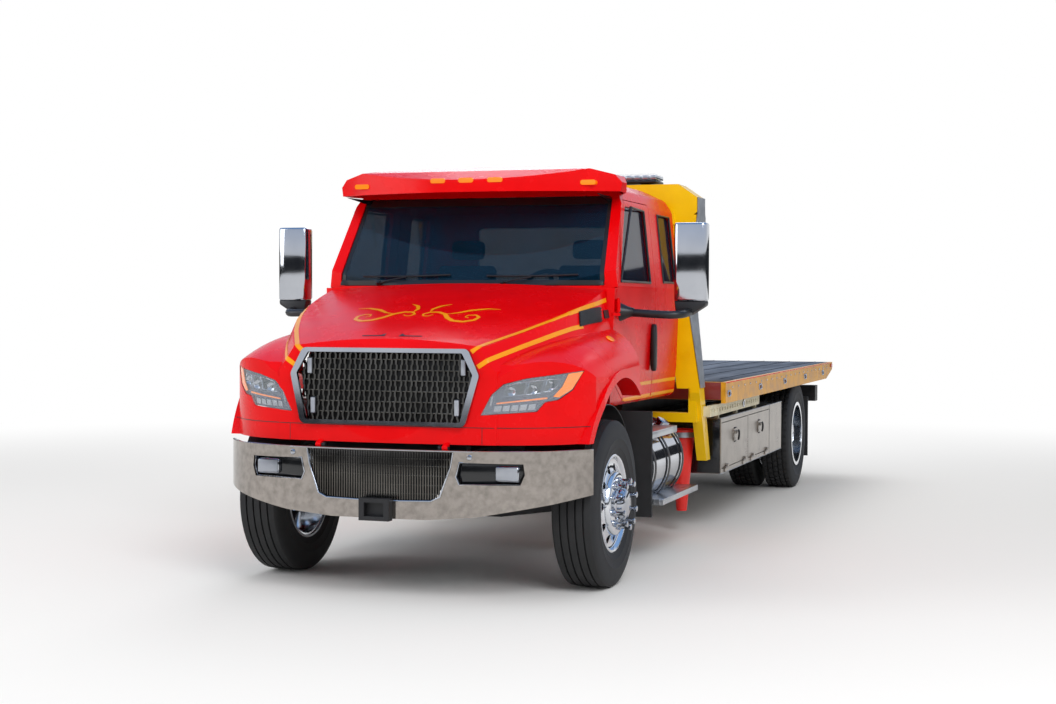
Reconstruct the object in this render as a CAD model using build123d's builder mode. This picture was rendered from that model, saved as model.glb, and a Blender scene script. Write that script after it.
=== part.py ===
from build123d import *
import os
from math import atan2, cos, degrees, hypot, radians, sin

os.makedirs("parts", exist_ok=True)

# A rollback tow truck in millimetres: +X is the driver's side, the nose points to -Y, +Z is up.
# Every y place below counts back from the front axle, and back() turns it into the part's own frame.

# ---- Whole truck ----
nose_reach = 1045        # front axle to the tip of the front tow bracket
tail_reach = 8180        # front axle to the end of the deck
wheelbase = 6320
front_axle_y = (nose_reach - tail_reach) / 2
fit_gap = 0.3            # between faces that seat on each other
move_gap = 6             # between faces that move past each other

# ---- Tyres and wheels ----
tyre_radius = 516
tyre_width = 280
bead_width = 234
rim_radius = 286
rim_lip_radius = 305
rim_wall = 12
front_track_x = 1035     # centre of a front tyre
outer_dual_x = 1080      # centre of an outer rear tyre
dual_spacing = 335
hub_radius = 75
spindle_radius = 40
lug_circle = 142
lug_count = 10
kingpin_x = 900
kingpin_radius = 20
knuckle_radius = 48

# ---- Chassis ----
rail_outer_x = 430
rail_flange = 80
rail_wall = 10
rail_low = 615
rail_high = 865
rail_front = -800
rail_rear = 7680
cross_member_places = (-760, 1750, 2280, 3650, 5050, 6880, 7420)
engine_half_width = 330
spring_width = 70

# ---- Nose ----
bumper_low = 490
bumper_end_low = 640
bumper_high = 894
bumper_wall = 12
bumper_front = -990
bumper_half = 1181
bumper_end_y = -546
hood_wall = 14
hood_low = 925
hood_rear = 440
hood_pivot = (-930, 905)
hood_pin_radius = 10
arch_centre = (50, 640)
arch_radius = 650
flare_band = 55
fender_half = 1195
fender_low = 700

# ---- Cab ----
cab_low = 1073
cab_mount_places = (760, 2120)
cab_wall = 45
cab_rear = 2235
glass_depth = 12
glass_wall = 6
door_gap = 6
door_hinge = (1036, 497)
door_pin_radius = 7

# ---- Load bed ----
deck_front = 2706
deck_floor_high = 1157
deck_floor_wall = 20
deck_half = 1275
deck_rail_wall = 35
deck_rail_low = 994
sill_low = 945
deck_member_low = 1065
sill_half = 440
sill_wall = 80
tilt_pivot = (7700, 900)
tilt_pin_radius = 22
lift_pivot = (7250, 500)      # hinge of the wheel lift
lift_pin_radius = 25
cylinder_base = (6800, 640)
cylinder_eye = (5200, 850)
cylinder_x = 230
tilt_member_places = (2800, 3700, 4500, 5090, 5900, 6700, 7500)
winch_plate_rear = 3150
winch_plate_wall = 8
barrel_radius = 55
rod_radius = 30

# ---- Toolboxes ----
box_outer_x = 1212
box_inner_x = 620
box_span = (2830, 5460)
box_low = 440
box_high = 870
box_wall = 12
box_frame = 40
leaf_wall = 20
box_pin_radius = 5


def back(y):
    """Turn a place counted back from the front axle into the part's own y."""
    return front_axle_y + y


def mid(pair):
    """Middle of a (low, high) pair."""
    return (pair[0] + pair[1]) / 2


def span(pair):
    """Length of a (low, high) pair."""
    return pair[1] - pair[0]


def slab(x, y, z, mode=Mode.ADD):
    """Add or cut a box between three (low, high) pairs."""
    with Locations((mid(x), back(mid(y)), mid(z))):
        Box(span(x), span(y), span(z), mode=mode)


def bar_x(radius, x, y, z, mode=Mode.ADD):
    """Add or cut a round bar along X; x is a (low, high) pair."""
    with Locations(Location((mid(x), back(y), z), (0, 90, 0))):
        Cylinder(radius, span(x), mode=mode)


def bar_y(radius, x, y, z, mode=Mode.ADD):
    """Add or cut a round bar along Y; y is a (low, high) pair."""
    with Locations(Location((x, back(mid(y)), z), (90, 0, 0))):
        Cylinder(radius, span(y), mode=mode)


def bar_z(radius, x, y, z, mode=Mode.ADD):
    """Add or cut a round bar along Z; z is a (low, high) pair."""
    with Locations((x, back(y), mid(z))):
        Cylinder(radius, span(z), mode=mode)


def both_sides(half):
    """Close a half outline of (x, z) or (x, y) points about the truck's centre plane."""
    return list(half) + [(-x, other) for x, other in reversed(half)]


def outline_face(points, round_radius, inset):
    """Draw a polygon with its corners rounded and its edge moved inwards by inset."""
    Polygon(*points, align=None)
    if round_radius:
        fillet(BuildSketch._get_context().vertices(), round_radius)
    if inset:
        offset(amount=-inset, kind=Kind.INTERSECTION, mode=Mode.REPLACE)


def side_prism(outline, x, round_radius=0, inset=0, mode=Mode.ADD):
    """Extrude an outline of (y, z) points across the truck."""
    with BuildSketch(Plane.YZ.offset(x[0])) as view:
        outline_face([(back(y), z) for y, z in outline], round_radius, inset)
    extrude(view.sketch, amount=span(x), mode=mode)


def front_prism(outline, y, round_radius=0, inset=0, mode=Mode.ADD):
    """Extrude an outline of (x, z) points along the truck."""
    with BuildSketch(Plane.XZ.offset(-back(y[0]))) as view:
        outline_face(outline, round_radius, inset)
    extrude(view.sketch, amount=-span(y), mode=mode)


def plan_prism(outline, z, round_radius=0, inset=0, mode=Mode.ADD):
    """Extrude an outline of (x, y) points upwards."""
    with BuildSketch(Plane.XY.offset(z[0])) as view:
        outline_face([(x, back(y)) for x, y in outline], round_radius, inset)
    extrude(view.sketch, amount=span(z), mode=mode)


def ring_x(profile, x, y, z):
    """Revolve a profile of (x from a wheel's middle, radius) points about an axle along X."""
    with BuildSketch(Plane(origin=(x, back(y), z), x_dir=(1, 0, 0), z_dir=(0, -1, 0))) as half:
        Polygon(*profile, align=None)
    revolve(half.sketch, axis=Axis((x, back(y), z), (1, 0, 0)))


def keep(piece, name):
    """Label a finished piece and write its STEP file."""
    piece.label = name
    export_step(piece, f"parts/{name}.step")
    print(name, flush=True)


def keep_pair(piece, name):
    """Write a driver's side piece and its mirror image on the passenger's side."""
    keep(piece, f"{name}_left")
    keep(mirror(piece, about=Plane.YZ), f"{name}_right")


# ---- Tyres, wheels and axles ----
half_bead = bead_width / 2
half_tyre = tyre_width / 2
# x from the tyre's middle, radius
tyre_profile = (
    (-half_bead, rim_radius + fit_gap), (half_bead, rim_radius + fit_gap), (half_bead + 4, 320),
    (half_tyre, 410), (half_tyre - 6, 480), (half_tyre - 30, tyre_radius),
    (30 - half_tyre, tyre_radius), (6 - half_tyre, 480), (-half_tyre, 410), (-half_bead - 4, 320),
)


def rim(x, y, z):
    """Rim barrel with a lip at each end."""
    lip = half_bead + 4 + fit_gap
    low = rim_radius - rim_wall
    ring_x(((-lip - rim_wall, low), (lip + rim_wall, low), (lip + rim_wall, rim_lip_radius),
            (lip, rim_lip_radius), (lip, rim_radius), (-lip, rim_radius),
            (-lip, rim_lip_radius), (-lip - rim_wall, rim_lip_radius)), x, y, z)


def hand_holes(x, y, z, circle, radius):
    """Cut the round holes of a wheel disc."""
    wheel_plane = Plane(origin=(x, back(y), z), x_dir=(0, 1, 0), z_dir=(1, 0, 0))
    with Locations(wheel_plane):
        with PolarLocations(circle, lug_count):
            Cylinder(radius, half_tyre, mode=Mode.SUBTRACT)


def lug_covers(x, y, z, radius, length):
    """Add the ring of lug nut covers, standing on the disc face at x."""
    wheel_plane = Plane(origin=(x + length / 2, back(y), z), x_dir=(0, 1, 0), z_dir=(1, 0, 0))
    with Locations(wheel_plane):
        with PolarLocations(lug_circle, lug_count):
            Cylinder(radius, length)


axle_z = tyre_radius
with BuildPart() as front_tyre:
    ring_x(tyre_profile, front_track_x, 0, axle_z)
keep_pair(front_tyre.part, "front_tyre")

disc_x = 112             # disc face of a front wheel, out from the wheel's middle
with BuildPart() as front_wheel:
    rim(front_track_x, 0, axle_z)
    inner = rim_radius - rim_wall / 2
    ring_x(((disc_x - 45, inner), (disc_x - 25, inner), (disc_x, 190), (disc_x, 60),
            (disc_x - 14, 60), (disc_x - 14, 185)), front_track_x, 0, axle_z)
    hand_holes(front_track_x + disc_x - 20, 0, axle_z, 222, 28)
    lug_covers(front_track_x + disc_x, 0, axle_z, 18, 45)
    bar_x(hub_radius, (front_track_x - 55, front_track_x + disc_x + 60), 0, axle_z)
    bar_x(55, (front_track_x + disc_x + 50, 1290), 0, axle_z)
    bar_x(200, (front_track_x - 55, front_track_x - 20), 0, axle_z)
    bar_x(spindle_radius + fit_gap, (front_track_x - 60, front_track_x + disc_x), 0, axle_z,
          Mode.SUBTRACT)
keep_pair(front_wheel.part, "front_wheel")

knuckle_half = 130
boss_half = 60
with BuildPart() as knuckle:
    for low, high in ((-knuckle_half, -boss_half - move_gap), (boss_half + move_gap, knuckle_half)):
        bar_z(knuckle_radius, kingpin_x, 0, (axle_z + low, axle_z + high))
        slab((kingpin_x, kingpin_x + 70), (-45, 45), (axle_z + low, axle_z + high))
    slab((kingpin_x + 56, kingpin_x + 74), (-90, 90), (axle_z - knuckle_half, axle_z + knuckle_half))
    bar_z(kingpin_radius, kingpin_x, 0, (axle_z - knuckle_half, axle_z + knuckle_half))
    bar_x(spindle_radius, (kingpin_x + 70, front_track_x + disc_x - 10), 0, axle_z)
keep_pair(knuckle.part, "knuckle")

beam_x = 430
with BuildPart() as front_axle:
    bar_z(knuckle_radius, kingpin_x, 0, (axle_z - boss_half, axle_z + boss_half))
    front_prism(((kingpin_x - 10, axle_z - 45), (kingpin_x - 10, axle_z + 45),
                 (kingpin_x - 120, axle_z + 40), (beam_x, axle_z - 20), (0, axle_z - 20),
                 (0, axle_z - 110), (beam_x, axle_z - 110), (kingpin_x - 120, axle_z - 60)), (-42, 42))
    bar_z(kingpin_radius + fit_gap, kingpin_x, 0, (axle_z - 80, axle_z + 80), Mode.SUBTRACT)
    mirror(about=Plane.YZ)

spring_x = (350, 350 + spring_width)
with BuildPart() as front_springs:
    seat = axle_z - 20
    side_prism(((-180, seat + fit_gap), (180, seat + fit_gap), (700, rail_low - 45),
                (760, rail_low - 45), (760, rail_low), (700, rail_low), (180, seat + 60),
                (-180, seat + 60), (-640, rail_low), (-700, rail_low), (-700, rail_low - 45),
                (-640, rail_low - 45)), spring_x)
    mirror(about=Plane.YZ)

inner_dual_x = outer_dual_x - dual_spacing
dual_middle = outer_dual_x - dual_spacing / 2
with BuildPart() as rear_tyres:
    for tyre_x in (inner_dual_x, outer_dual_x):
        ring_x(tyre_profile, tyre_x, wheelbase, axle_z)
keep_pair(rear_tyres.part, "rear_tyres")

rear_spindle_radius = 50
with BuildPart() as rear_wheels:
    for tyre_x, way in ((inner_dual_x, 1), (outer_dual_x, -1)):
        rim(tyre_x, wheelbase, axle_z)
        disc = way * dual_spacing / 2
        inner = rim_radius - rim_wall / 2
        ring_x(((disc, 95), (disc, 190), (way * 108, inner), (way * 88, inner),
                (disc - way * 14, 185), (disc - way * 14, 95)), tyre_x, wheelbase, axle_z)
    hand_holes(dual_middle, wheelbase, axle_z, 218, 26)
    lug_covers(dual_middle + 12, wheelbase, axle_z, 18, 50)
    bar_x(110, (inner_dual_x - 60, dual_middle + 90), wheelbase, axle_z)
    bar_x(85, (dual_middle + 80, outer_dual_x + 90), wheelbase, axle_z)
    bar_x(rear_spindle_radius + fit_gap, (inner_dual_x - 70, dual_middle - 20), wheelbase, axle_z,
          Mode.SUBTRACT)
keep_pair(rear_wheels.part, "rear_wheels")

axle_tube = 70
with BuildPart() as rear_axle:
    bar_x(axle_tube, (-inner_dual_x + 75, inner_dual_x - 75), wheelbase, axle_z)
    bar_x(rear_spindle_radius, (-dual_middle + 40, dual_middle - 40), wheelbase, axle_z)
    bar_x(190, (-110, 110), wheelbase, axle_z)
    bar_y(90, 0, (wheelbase - 330, wheelbase), axle_z)
    bar_y(50, 0, (1600, wheelbase - 300), axle_z + 5)
keep(front_axle.part + rear_axle.part, "axles")

rear_spring_x = (rail_outer_x + 15, rail_outer_x + 15 + spring_width)
with BuildPart() as rear_springs:
    top = axle_z + axle_tube + fit_gap
    side_prism(((wheelbase - 120, top), (wheelbase + 120, top), (wheelbase + 700, top + 90),
                (wheelbase + 760, top + 90), (wheelbase + 760, top + 140), (wheelbase + 700, top + 140),
                (wheelbase + 120, top + 80), (wheelbase - 120, top + 80), (wheelbase - 700, top + 140),
                (wheelbase - 760, top + 140), (wheelbase - 760, top + 90), (wheelbase - 700, top + 90)),
               rear_spring_x)
    for end in (-760, 700):
        slab((rail_outer_x + fit_gap, rear_spring_x[1]), (wheelbase + end, wheelbase + end + 60),
             (top + 85, rail_high - 40))
    mirror(about=Plane.YZ)
keep(front_springs.part + rear_springs.part, "leaf_springs")

# ---- Chassis frame ----
with BuildPart() as frame_rails:
    inner = rail_outer_x - rail_flange
    front_prism(((rail_outer_x, rail_low), (rail_outer_x, rail_high), (inner, rail_high),
                 (inner, rail_high - rail_wall), (rail_outer_x - rail_wall, rail_high - rail_wall),
                 (rail_outer_x - rail_wall, rail_low + rail_wall), (inner, rail_low + rail_wall),
                 (inner, rail_low)), (rail_front, rail_rear))
    bracket = (inner, rail_outer_x)
    slab(bracket, (rail_front - 60, rail_front), (bumper_low + 15, rail_high - 60))
    slab(bracket, (bumper_front + 31.2, rail_front - 50), (bumper_low + 15, 580))
    slab((360, 375), (hood_pivot[0] - 10, rail_front - 30), (rail_high - 95, rail_high - 60))
    side_prism(((hood_pivot[0] - 14, 790), (hood_pivot[0] + 26, 780), (hood_pivot[0] + 16, 905),
                (hood_pivot[0] - 14, 905)), (360, 375))
    bar_x(15, (360, 375), *hood_pivot)
    bar_x(hood_pin_radius, (370, 424), *hood_pivot)
    for place in cab_mount_places:
        slab((inner + 10, rail_outer_x - 10), (place - 40, place + 40), (rail_high, cab_low - fit_gap))
    mirror(about=Plane.YZ)
    for place in cross_member_places:
        edge = rail_outer_x - rail_wall
        slab((-edge, edge), (place - 35, place + 35), (rail_low + 75, rail_high - 25))
    ear = tilt_pivot[0] - rail_rear + 35
    for side in (-1, 1):
        near = sorted((side * 350, side * 380))
        slab(near, (rail_rear - 60, tilt_pivot[0] + 35), (rail_high - 150, tilt_pivot[1] - 8))
        bar_x(35, near, *tilt_pivot)
        pin = sorted((side * 350, side * 436))
        bar_x(tilt_pin_radius, pin, *tilt_pivot)
        base = sorted((side * (cylinder_x - 45), side * (cylinder_x - 30)))
        slab(base, (cylinder_base[0], cylinder_base[0] + 60), (cylinder_base[1] - 30, rail_low + 95))
        bar_x(30, base, *cylinder_base)
        bar_x(15, sorted((side * (cylinder_x - 45), side * (cylinder_x + 30))), *cylinder_base)
        cheek = sorted((side * 130, side * 160))
        slab(cheek, (7180, 7455), (450, rail_high - 100))
        bar_x(lift_pin_radius, sorted((side * 40, side * 135)), *lift_pivot)
keep(frame_rails.part, "frame_rails")

with BuildPart() as engine_block:
    slab((-engine_half_width, engine_half_width), (-420, 420), (640, 1400))
    slab((-220, 220), (420, 1500), (620, 1020))
    mount = rail_outer_x - rail_wall - fit_gap
    slab((-mount, mount), (-200, 200), (700, 840))
    slab((-450, 450), (-715, -640), (rail_high + fit_gap, 1400))
keep(engine_block.part, "engine_block")

# ---- Bumper ----
# x, y of the three arcs that make the nose in plan: middle, join, bow, end
nose_join = (620, -951)
nose_bow = (980, -800)


def nose_plan(inset, set_back=0):
    """Plan of the nose, filled back to behind its ends."""
    with BuildLine() as edge:
        y = back(set_back)
        ThreePointArc((-bumper_half, y + bumper_end_y), (-nose_bow[0], y + nose_bow[1]),
                      (-nose_join[0], y + nose_join[1]))
        ThreePointArc((-nose_join[0], y + nose_join[1]), (0, y + bumper_front),
                      (nose_join[0], y + nose_join[1]))
        ThreePointArc((nose_join[0], y + nose_join[1]), (nose_bow[0], y + nose_bow[1]),
                      (bumper_half, y + bumper_end_y))
        Line((bumper_half, y + bumper_end_y), (bumper_half, y + bumper_end_y + 300))
        Line((bumper_half, y + bumper_end_y + 300), (-bumper_half, y + bumper_end_y + 300))
        Line((-bumper_half, y + bumper_end_y + 300), (-bumper_half, y + bumper_end_y))
    make_face(edge.edges())
    if inset:
        offset(amount=-inset, mode=Mode.REPLACE)


def nose_band(front, rear, z):
    """Wall that follows the bumper, from one depth behind its face to another."""
    with BuildPart() as band:
        with BuildSketch(Plane.XY.offset(z[0])):
            nose_plan(front)
        extrude(amount=span(z))
        with BuildSketch(Plane.XY.offset(z[0])):
            nose_plan(rear)
        extrude(amount=span(z), mode=Mode.SUBTRACT)
        slab((-1300, 1300), (bumper_end_y, 0), z, Mode.SUBTRACT)
    return band.part


# half outlines of x, z
bumper_face = ((0, bumper_high), (1250, bumper_high), (1250, bumper_end_low), (1000, 585),
               (600, 515), (300, bumper_low), (0, bumper_low))
low_grille_half = ((0, 886), (462, 886), (448, 800), (385, 625), (330, 600), (0, 592))
fog_pocket = ((500, 700), (480, 745), (500, 828), (860, 822), (868, 760), (845, 700))


def filled(half_outline, y, round_radius=0, inset=0):
    """Solid whose front view is a symmetric outline."""
    with BuildPart() as solid:
        front_prism(both_sides(half_outline), y, round_radius, inset)
    return solid.part


def pocket_pair(outline, y, inset=0):
    """Two solids whose front view is an outline and its mirror image."""
    with BuildPart() as solid:
        front_prism(outline, y, 0, inset)
        mirror(about=Plane.YZ)
    return solid.part


nose_depth = (-1150, -300)
bumper = nose_band(0, bumper_wall, (bumper_low, bumper_high)) & filled(bumper_face[1:-1], nose_depth)
bumper -= filled(low_grille_half[1:-1], nose_depth)
bumper -= pocket_pair(fog_pocket, nose_depth)
keep(bumper, "front_bumper")

grille_blank = nose_band(3, 15, (bumper_low, bumper_high))
grille_blank &= filled(low_grille_half[1:-1], nose_depth, 0, fit_gap)
with BuildPart() as bumper_grille:
    add(grille_blank)
    slots = [(column * 46, back(-900), 640 + row * 62 + (column % 2) * 20)
             for column in range(-8, 9) for row in range(4)]
    with Locations(*slots):
        Box(30, 400, 46, mode=Mode.SUBTRACT)
keep(bumper_grille.part, "bumper_grille")

fog_wall = 5
fog_tray = nose_band(bumper_wall + fit_gap, 55, (bumper_low, bumper_high))
fog_tray &= pocket_pair(fog_pocket, nose_depth, -fog_wall)
fog_tray -= nose_band(0, 50, (bumper_low, bumper_high)) & pocket_pair(fog_pocket, nose_depth)
with BuildPart() as fog_lamps:
    add(fog_tray)
    bar_y(50, 770, (-893, -835), 762)
    bar_y(50, -770, (-893, -835), 762)
keep(fog_lamps.part, "fog_lamps")

with BuildPart() as tow_bracket:
    slab((-95, 95), (-nose_reach, bumper_front - fit_gap), (480, 610))
    slab((-62, 62), (-nose_reach - 5, bumper_front - 12), (505, 585), Mode.SUBTRACT)
    bar_z(12, 0, -1020, (470, 620), Mode.SUBTRACT)
keep(tow_bracket.part, "tow_bracket")

# ---- Tilting hood ----
# y, z of the hood's side view
fender_side = ((-927, hood_low - 35), (-916, 1030), (-860, 1330), (-795, 1440), (-600, 1700),
               (hood_rear + 16, 1700), (hood_rear + 16, hood_low - 35))
# y, half width where the top starts to fall, top height, height where the side turns upright
fender_sections = ((-945, 740, 1330, 1060), (-650, 840, 1452, 1160), (-250, 935, 1535, 1235),
                   (hood_rear + 20, 965, 1596, 1270))
# y, half width low, half width at the top, shoulder height, top height, crown height
core_sections = ((-945, 655, 548, 1325, 1466, 1496), (-220, 935, 880, 1500, 1664, 1714),
                 (hood_rear + 20, 1000, 958, 1590, 1842, 1884))
core_side = ((-931, hood_low - 25), (-921, 1030), (-876, 1470), (-833, 1530), (-400, 2000),
             (hood_rear + 24, 2000), (hood_rear + 24, hood_low - 25))
# x, y of the wheel-arch lip in plan
lip_plan = ((1080, -700), (1120, -700), (1168, -600), (fender_half + 6, -380), (fender_half + 10, -150),
            (fender_half + 10, hood_rear), (1080, hood_rear))


def hood_plan(set_back, inset):
    """Cut a hood form to the nose's plan, set back behind the bumper."""
    with BuildSketch(Plane.XY.offset(hood_low - 100)) as plan:
        with BuildLine():
            y = back(set_back)
            half = fender_half - 22
            ThreePointArc((-half, y + bumper_end_y), (-nose_bow[0], y + nose_bow[1]),
                          (-nose_join[0], y + nose_join[1]))
            ThreePointArc((-nose_join[0], y + nose_join[1]), (0, y + bumper_front),
                          (nose_join[0], y + nose_join[1]))
            ThreePointArc((nose_join[0], y + nose_join[1]), (nose_bow[0], y + nose_bow[1]),
                          (half, y + bumper_end_y))
            Polyline((half, y + bumper_end_y), (fender_half, back(-250)),
                     (fender_half, back(hood_rear + 30)), (-fender_half, back(hood_rear + 30)),
                     (-fender_half, back(-250)), (-half, y + bumper_end_y))
        make_face()
        if inset:
            offset(amount=-inset, mode=Mode.REPLACE)
    extrude(plan.sketch, amount=1200, mode=Mode.INTERSECT)


def hood_core(inset):
    """Middle of the hood, lofted from a narrow front section to a wide rear one."""
    with BuildPart() as core:
        for y, low_half, top_half, shoulder, top, crown in core_sections:
            with BuildSketch(Plane.XZ.offset(-back(y))):
                with BuildLine():
                    low = low_half - inset
                    high = top_half - inset
                    Polyline((-high, top - inset), (-low, shoulder - inset), (-low, hood_low - 60),
                             (low, hood_low - 60), (low, shoulder - inset), (high, top - inset))
                    ThreePointArc((high, top - inset), (0, crown - inset), (-high, top - inset))
                make_face()
        loft()
        side_prism(core_side, (-1300, 1300), 0, inset, Mode.INTERSECT)
        hood_plan(62, inset)
    return core.part


def fenders(inset):
    """Both fenders as one rounded form across the nose."""
    with BuildPart() as form:
        for y, inner, top, shoulder in fender_sections:
            half = fender_half - inset
            crest = top - inset
            bulge = (inner + 0.72 * (half - inner), shoulder + 0.7 * (crest - shoulder))
            with BuildSketch(Plane.XZ.offset(-back(y))):
                with BuildLine():
                    Line((-inner, crest), (inner, crest))
                    ThreePointArc((inner, crest), bulge, (half, shoulder))
                    Polyline((half, shoulder), (half, hood_low - 50), (-half, hood_low - 50), (-half, shoulder))
                    ThreePointArc((-half, shoulder), (-bulge[0], bulge[1]), (-inner, crest))
                make_face()
        loft()
        side_prism(fender_side, (-1300, 1300), 60, inset, Mode.INTERSECT)
        hood_plan(72, inset)
    return form.part


grille_half = ((0, 1462), (495, 1462), (568, 1330), (497, 1046), (0, 1040))
surround_half = ((0, 1492), (525, 1480), (600, 1326), (522, 1030), (0, 1022))
headlamp = ((600, 1096), (662, 1215), (728, 1278), (850, 1312), (1010, 1336), (1128, 1354),
            (1078, 1240), (1012, 1184), (948, 1172), (908, 1118))

def hood_layer(outer, inner):
    """Skin of the hood between two depths below its surface."""
    core, fender = hood_core(outer), fenders(outer)
    core_hollow, fender_hollow = hood_core(inner), fenders(inner)
    return (core - core_hollow - fender_hollow) + (fender - fender_hollow - core_hollow)


with BuildPart() as arch_lips:
    plan_prism(lip_plan, (fender_low, 1400))
    bar_x(arch_radius + flare_band, (1000, 1300), *arch_centre, Mode.INTERSECT)
    mirror(about=Plane.YZ)
with BuildPart() as hood:
    add(hood_layer(0, hood_wall))
    slab((-1300, 1300), (hood_rear, 900), (0, 2000), Mode.SUBTRACT)
    add(arch_lips.part)
    for side in (-1, 1):
        cut = sorted((side * 600, side * (fender_half + 20)))
        bar_x(arch_radius, cut, *arch_centre, Mode.SUBTRACT)
    slab((-1300, 1300), (-1200, 300), (-200, hood_low), Mode.SUBTRACT)
    slab((-1090, 1090), (250, 900), (-200, hood_low), Mode.SUBTRACT)
    slab((-1300, 1300), (250, 900), (-200, fender_low), Mode.SUBTRACT)
front_depth = (-1100, -300)
with BuildPart() as hood_openings:
    front_prism(both_sides(grille_half[1:-1]), front_depth)
    front_prism(headlamp, front_depth)
    mirror(about=Plane.YZ)
hood_skin = hood.part - hood_openings.part
with BuildPart() as hood_arms:
    eye_x = (386, 418)
    side_prism(((hood_pivot[0] - 16, hood_pivot[1]), (hood_pivot[0] + 16, hood_pivot[1]),
                (-880, 960), (-880, 1010), (-902, 1010), (-908, 940)), eye_x)
    bar_x(19, eye_x, *hood_pivot)
    bar_x(hood_pin_radius + fit_gap, (380, 430), *hood_pivot, Mode.SUBTRACT)
    mirror(about=Plane.YZ)
keep(hood_skin + hood_arms.part, "hood")

grille_front = (-960, -800)
with BuildPart() as grille_block:
    side_prism(((-902, 1022), (-858, 1480), (-840, 1480), (-884, 1022)), (-620, 620))
    front_prism(both_sides(grille_half[1:-1]), front_depth, 0, fit_gap, Mode.INTERSECT)
with BuildPart() as grille:
    add(grille_block.part)
    slots = [(column * 48, back(mid(grille_front)), 1085 + row * 70 + (column % 2) * 20)
             for column in range(-11, 12) for row in range(5)]
    with Locations(*slots):
        Box(30, span(grille_front), 52, mode=Mode.SUBTRACT)
keep(grille.part, "grille")

with BuildPart() as surround:
    side_prism(((-944, 1000), (-898, 1500), (-870, 1500), (-916, 1000)), (-620, 620))
    front_prism(both_sides(surround_half[1:-1]), front_depth, 40, 0, Mode.INTERSECT)
    front_prism(both_sides(grille_half[1:-1]), front_depth, 20, 8, Mode.SUBTRACT)
keep(surround.part - hood_core(0) - fenders(0), "grille_surround")

lamp_depth = 70
lamp_blank = hood_layer(3, lamp_depth)
with BuildPart() as headlamp_window:
    front_prism(headlamp, front_depth, 0, fit_gap)
    mirror(about=Plane.YZ)
keep(lamp_blank & headlamp_window.part, "headlamps")

# ---- Cab ----
# x, z of half the cab's cross-section
cab_section = ((980, cab_low), (1000, 1300), (1020, 1860), (960, 2420), (915, 2510), (760, 2585), (380, 2612))
# y, z of its side view
cab_side = ((500, cab_low), (462, 1300), (455, 1850), (850, 2450), (950, 2560), (1150, 2606), (1900, 2606),
            (2140, 2570), (cab_rear, 2450), (cab_rear, cab_low))
windshield = ((940, 1864), (890, 2470))
door_outline = ((505, 1252), (800, 1108), (1530, 1108), (1530, 2440), (900, 2440), (552, 1862), (505, 1822))
door_window = ((612, 1888), (1390, 1888), (1390, 2400), (905, 2400))
quarter_window = ((1745, 1900), (2130, 1900), (2110, 2390), (1745, 2390))
rear_window = ((560, 1900), (560, 2330))


def cab_plan(inset):
    """Prism of the cab's plan: bowed at the windshield, square at the cowl below it."""
    bow = back(455)
    rear = back(cab_rear + 50)
    with BuildPart() as plan:
        with BuildSketch(Plane.XY.offset(1000)):
            with BuildLine():
                ThreePointArc((-1030, bow + 82), (0, bow), (1030, bow + 82))
                Polyline((1030, bow + 82), (1030, rear), (-1030, rear), (-1030, bow + 82))
            make_face()
            if inset:
                offset(amount=-inset, mode=Mode.REPLACE)
        extrude(amount=1700)
        with BuildSketch(Plane.XY.offset(1000)):
            Polygon((-1030, bow + 20), (-970, bow), (970, bow), (1030, bow + 20), (1030, bow + 300),
                    (-1030, bow + 300), align=None)
            if inset:
                offset(amount=-inset, mode=Mode.REPLACE)
        extrude(amount=850 - inset)
    return plan.part


def cab_form(inset):
    """Rounded cab body, moved inwards by inset."""
    with BuildPart() as form:
        front_prism(both_sides(cab_section), (300, 2400), 50, inset)
        side_prism(cab_side, (-1100, 1100), 25, inset, Mode.INTERSECT)
        add(cab_plan(inset), mode=Mode.INTERSECT)
    return form.part


def side_cutter(outline, inset=0, round_radius=0):
    """Prism through the driver's side wall of the cab."""
    with BuildPart() as cutter:
        side_prism(outline, (880, 1100), round_radius, inset)
    return cutter.part


cab_wall_solid = cab_form(0) - cab_form(cab_wall)
glass_layer = cab_form(glass_depth) - cab_form(glass_depth + glass_wall)
with BuildPart() as front_glass_cutter:
    front_prism(both_sides(windshield), (380, 960), 40)
with BuildPart() as rear_glass_cutter:
    front_prism(both_sides(rear_window), (cab_rear - 100, cab_rear + 50), 40)
with BuildPart() as quarter_cutter:
    side_prism(quarter_window, (880, 1100), 40)
    mirror(about=Plane.YZ)
with BuildPart() as door_way:
    side_prism(door_outline, (880, 1100), 12, -door_gap)
    mirror(about=Plane.YZ)

pin_levels = (1340, 1740)
pin_length = 90
shell = cab_wall_solid - front_glass_cutter.part - rear_glass_cutter.part
shell = shell - quarter_cutter.part - door_way.part
with BuildPart() as door_pins:
    for level in pin_levels:
        bar_z(door_pin_radius, *door_hinge, (level - pin_length / 2 - 25, level + pin_length / 2))
        low = (level - pin_length / 2 - 25, level - pin_length / 2 - move_gap)
        bar_z(13, *door_hinge, low)
        plan_prism(((985, 466), (1010, 462), (door_hinge[0] + 12, door_hinge[1] - 8),
                    (door_hinge[0] - 4, door_hinge[1] + 5), (985, 492)), low)
    mirror(about=Plane.YZ)
with BuildPart() as cab_shell:
    add(shell)
    add(door_pins.part - cab_form(cab_wall / 2))
keep(cab_shell.part, "cab_shell")

with BuildPart() as windshield_pane:
    front_prism(both_sides(windshield), (380, 960), 40, fit_gap)
with BuildPart() as rear_pane:
    front_prism(both_sides(rear_window), (cab_rear - 100, cab_rear + 50), 40, fit_gap)
with BuildPart() as quarter_pane:
    side_prism(quarter_window, (880, 1100), 40, fit_gap)
    mirror(about=Plane.YZ)
panes = (glass_layer & windshield_pane.part) + (glass_layer & rear_pane.part)
keep(panes + (glass_layer & quarter_pane.part), "cab_glass")

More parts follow.
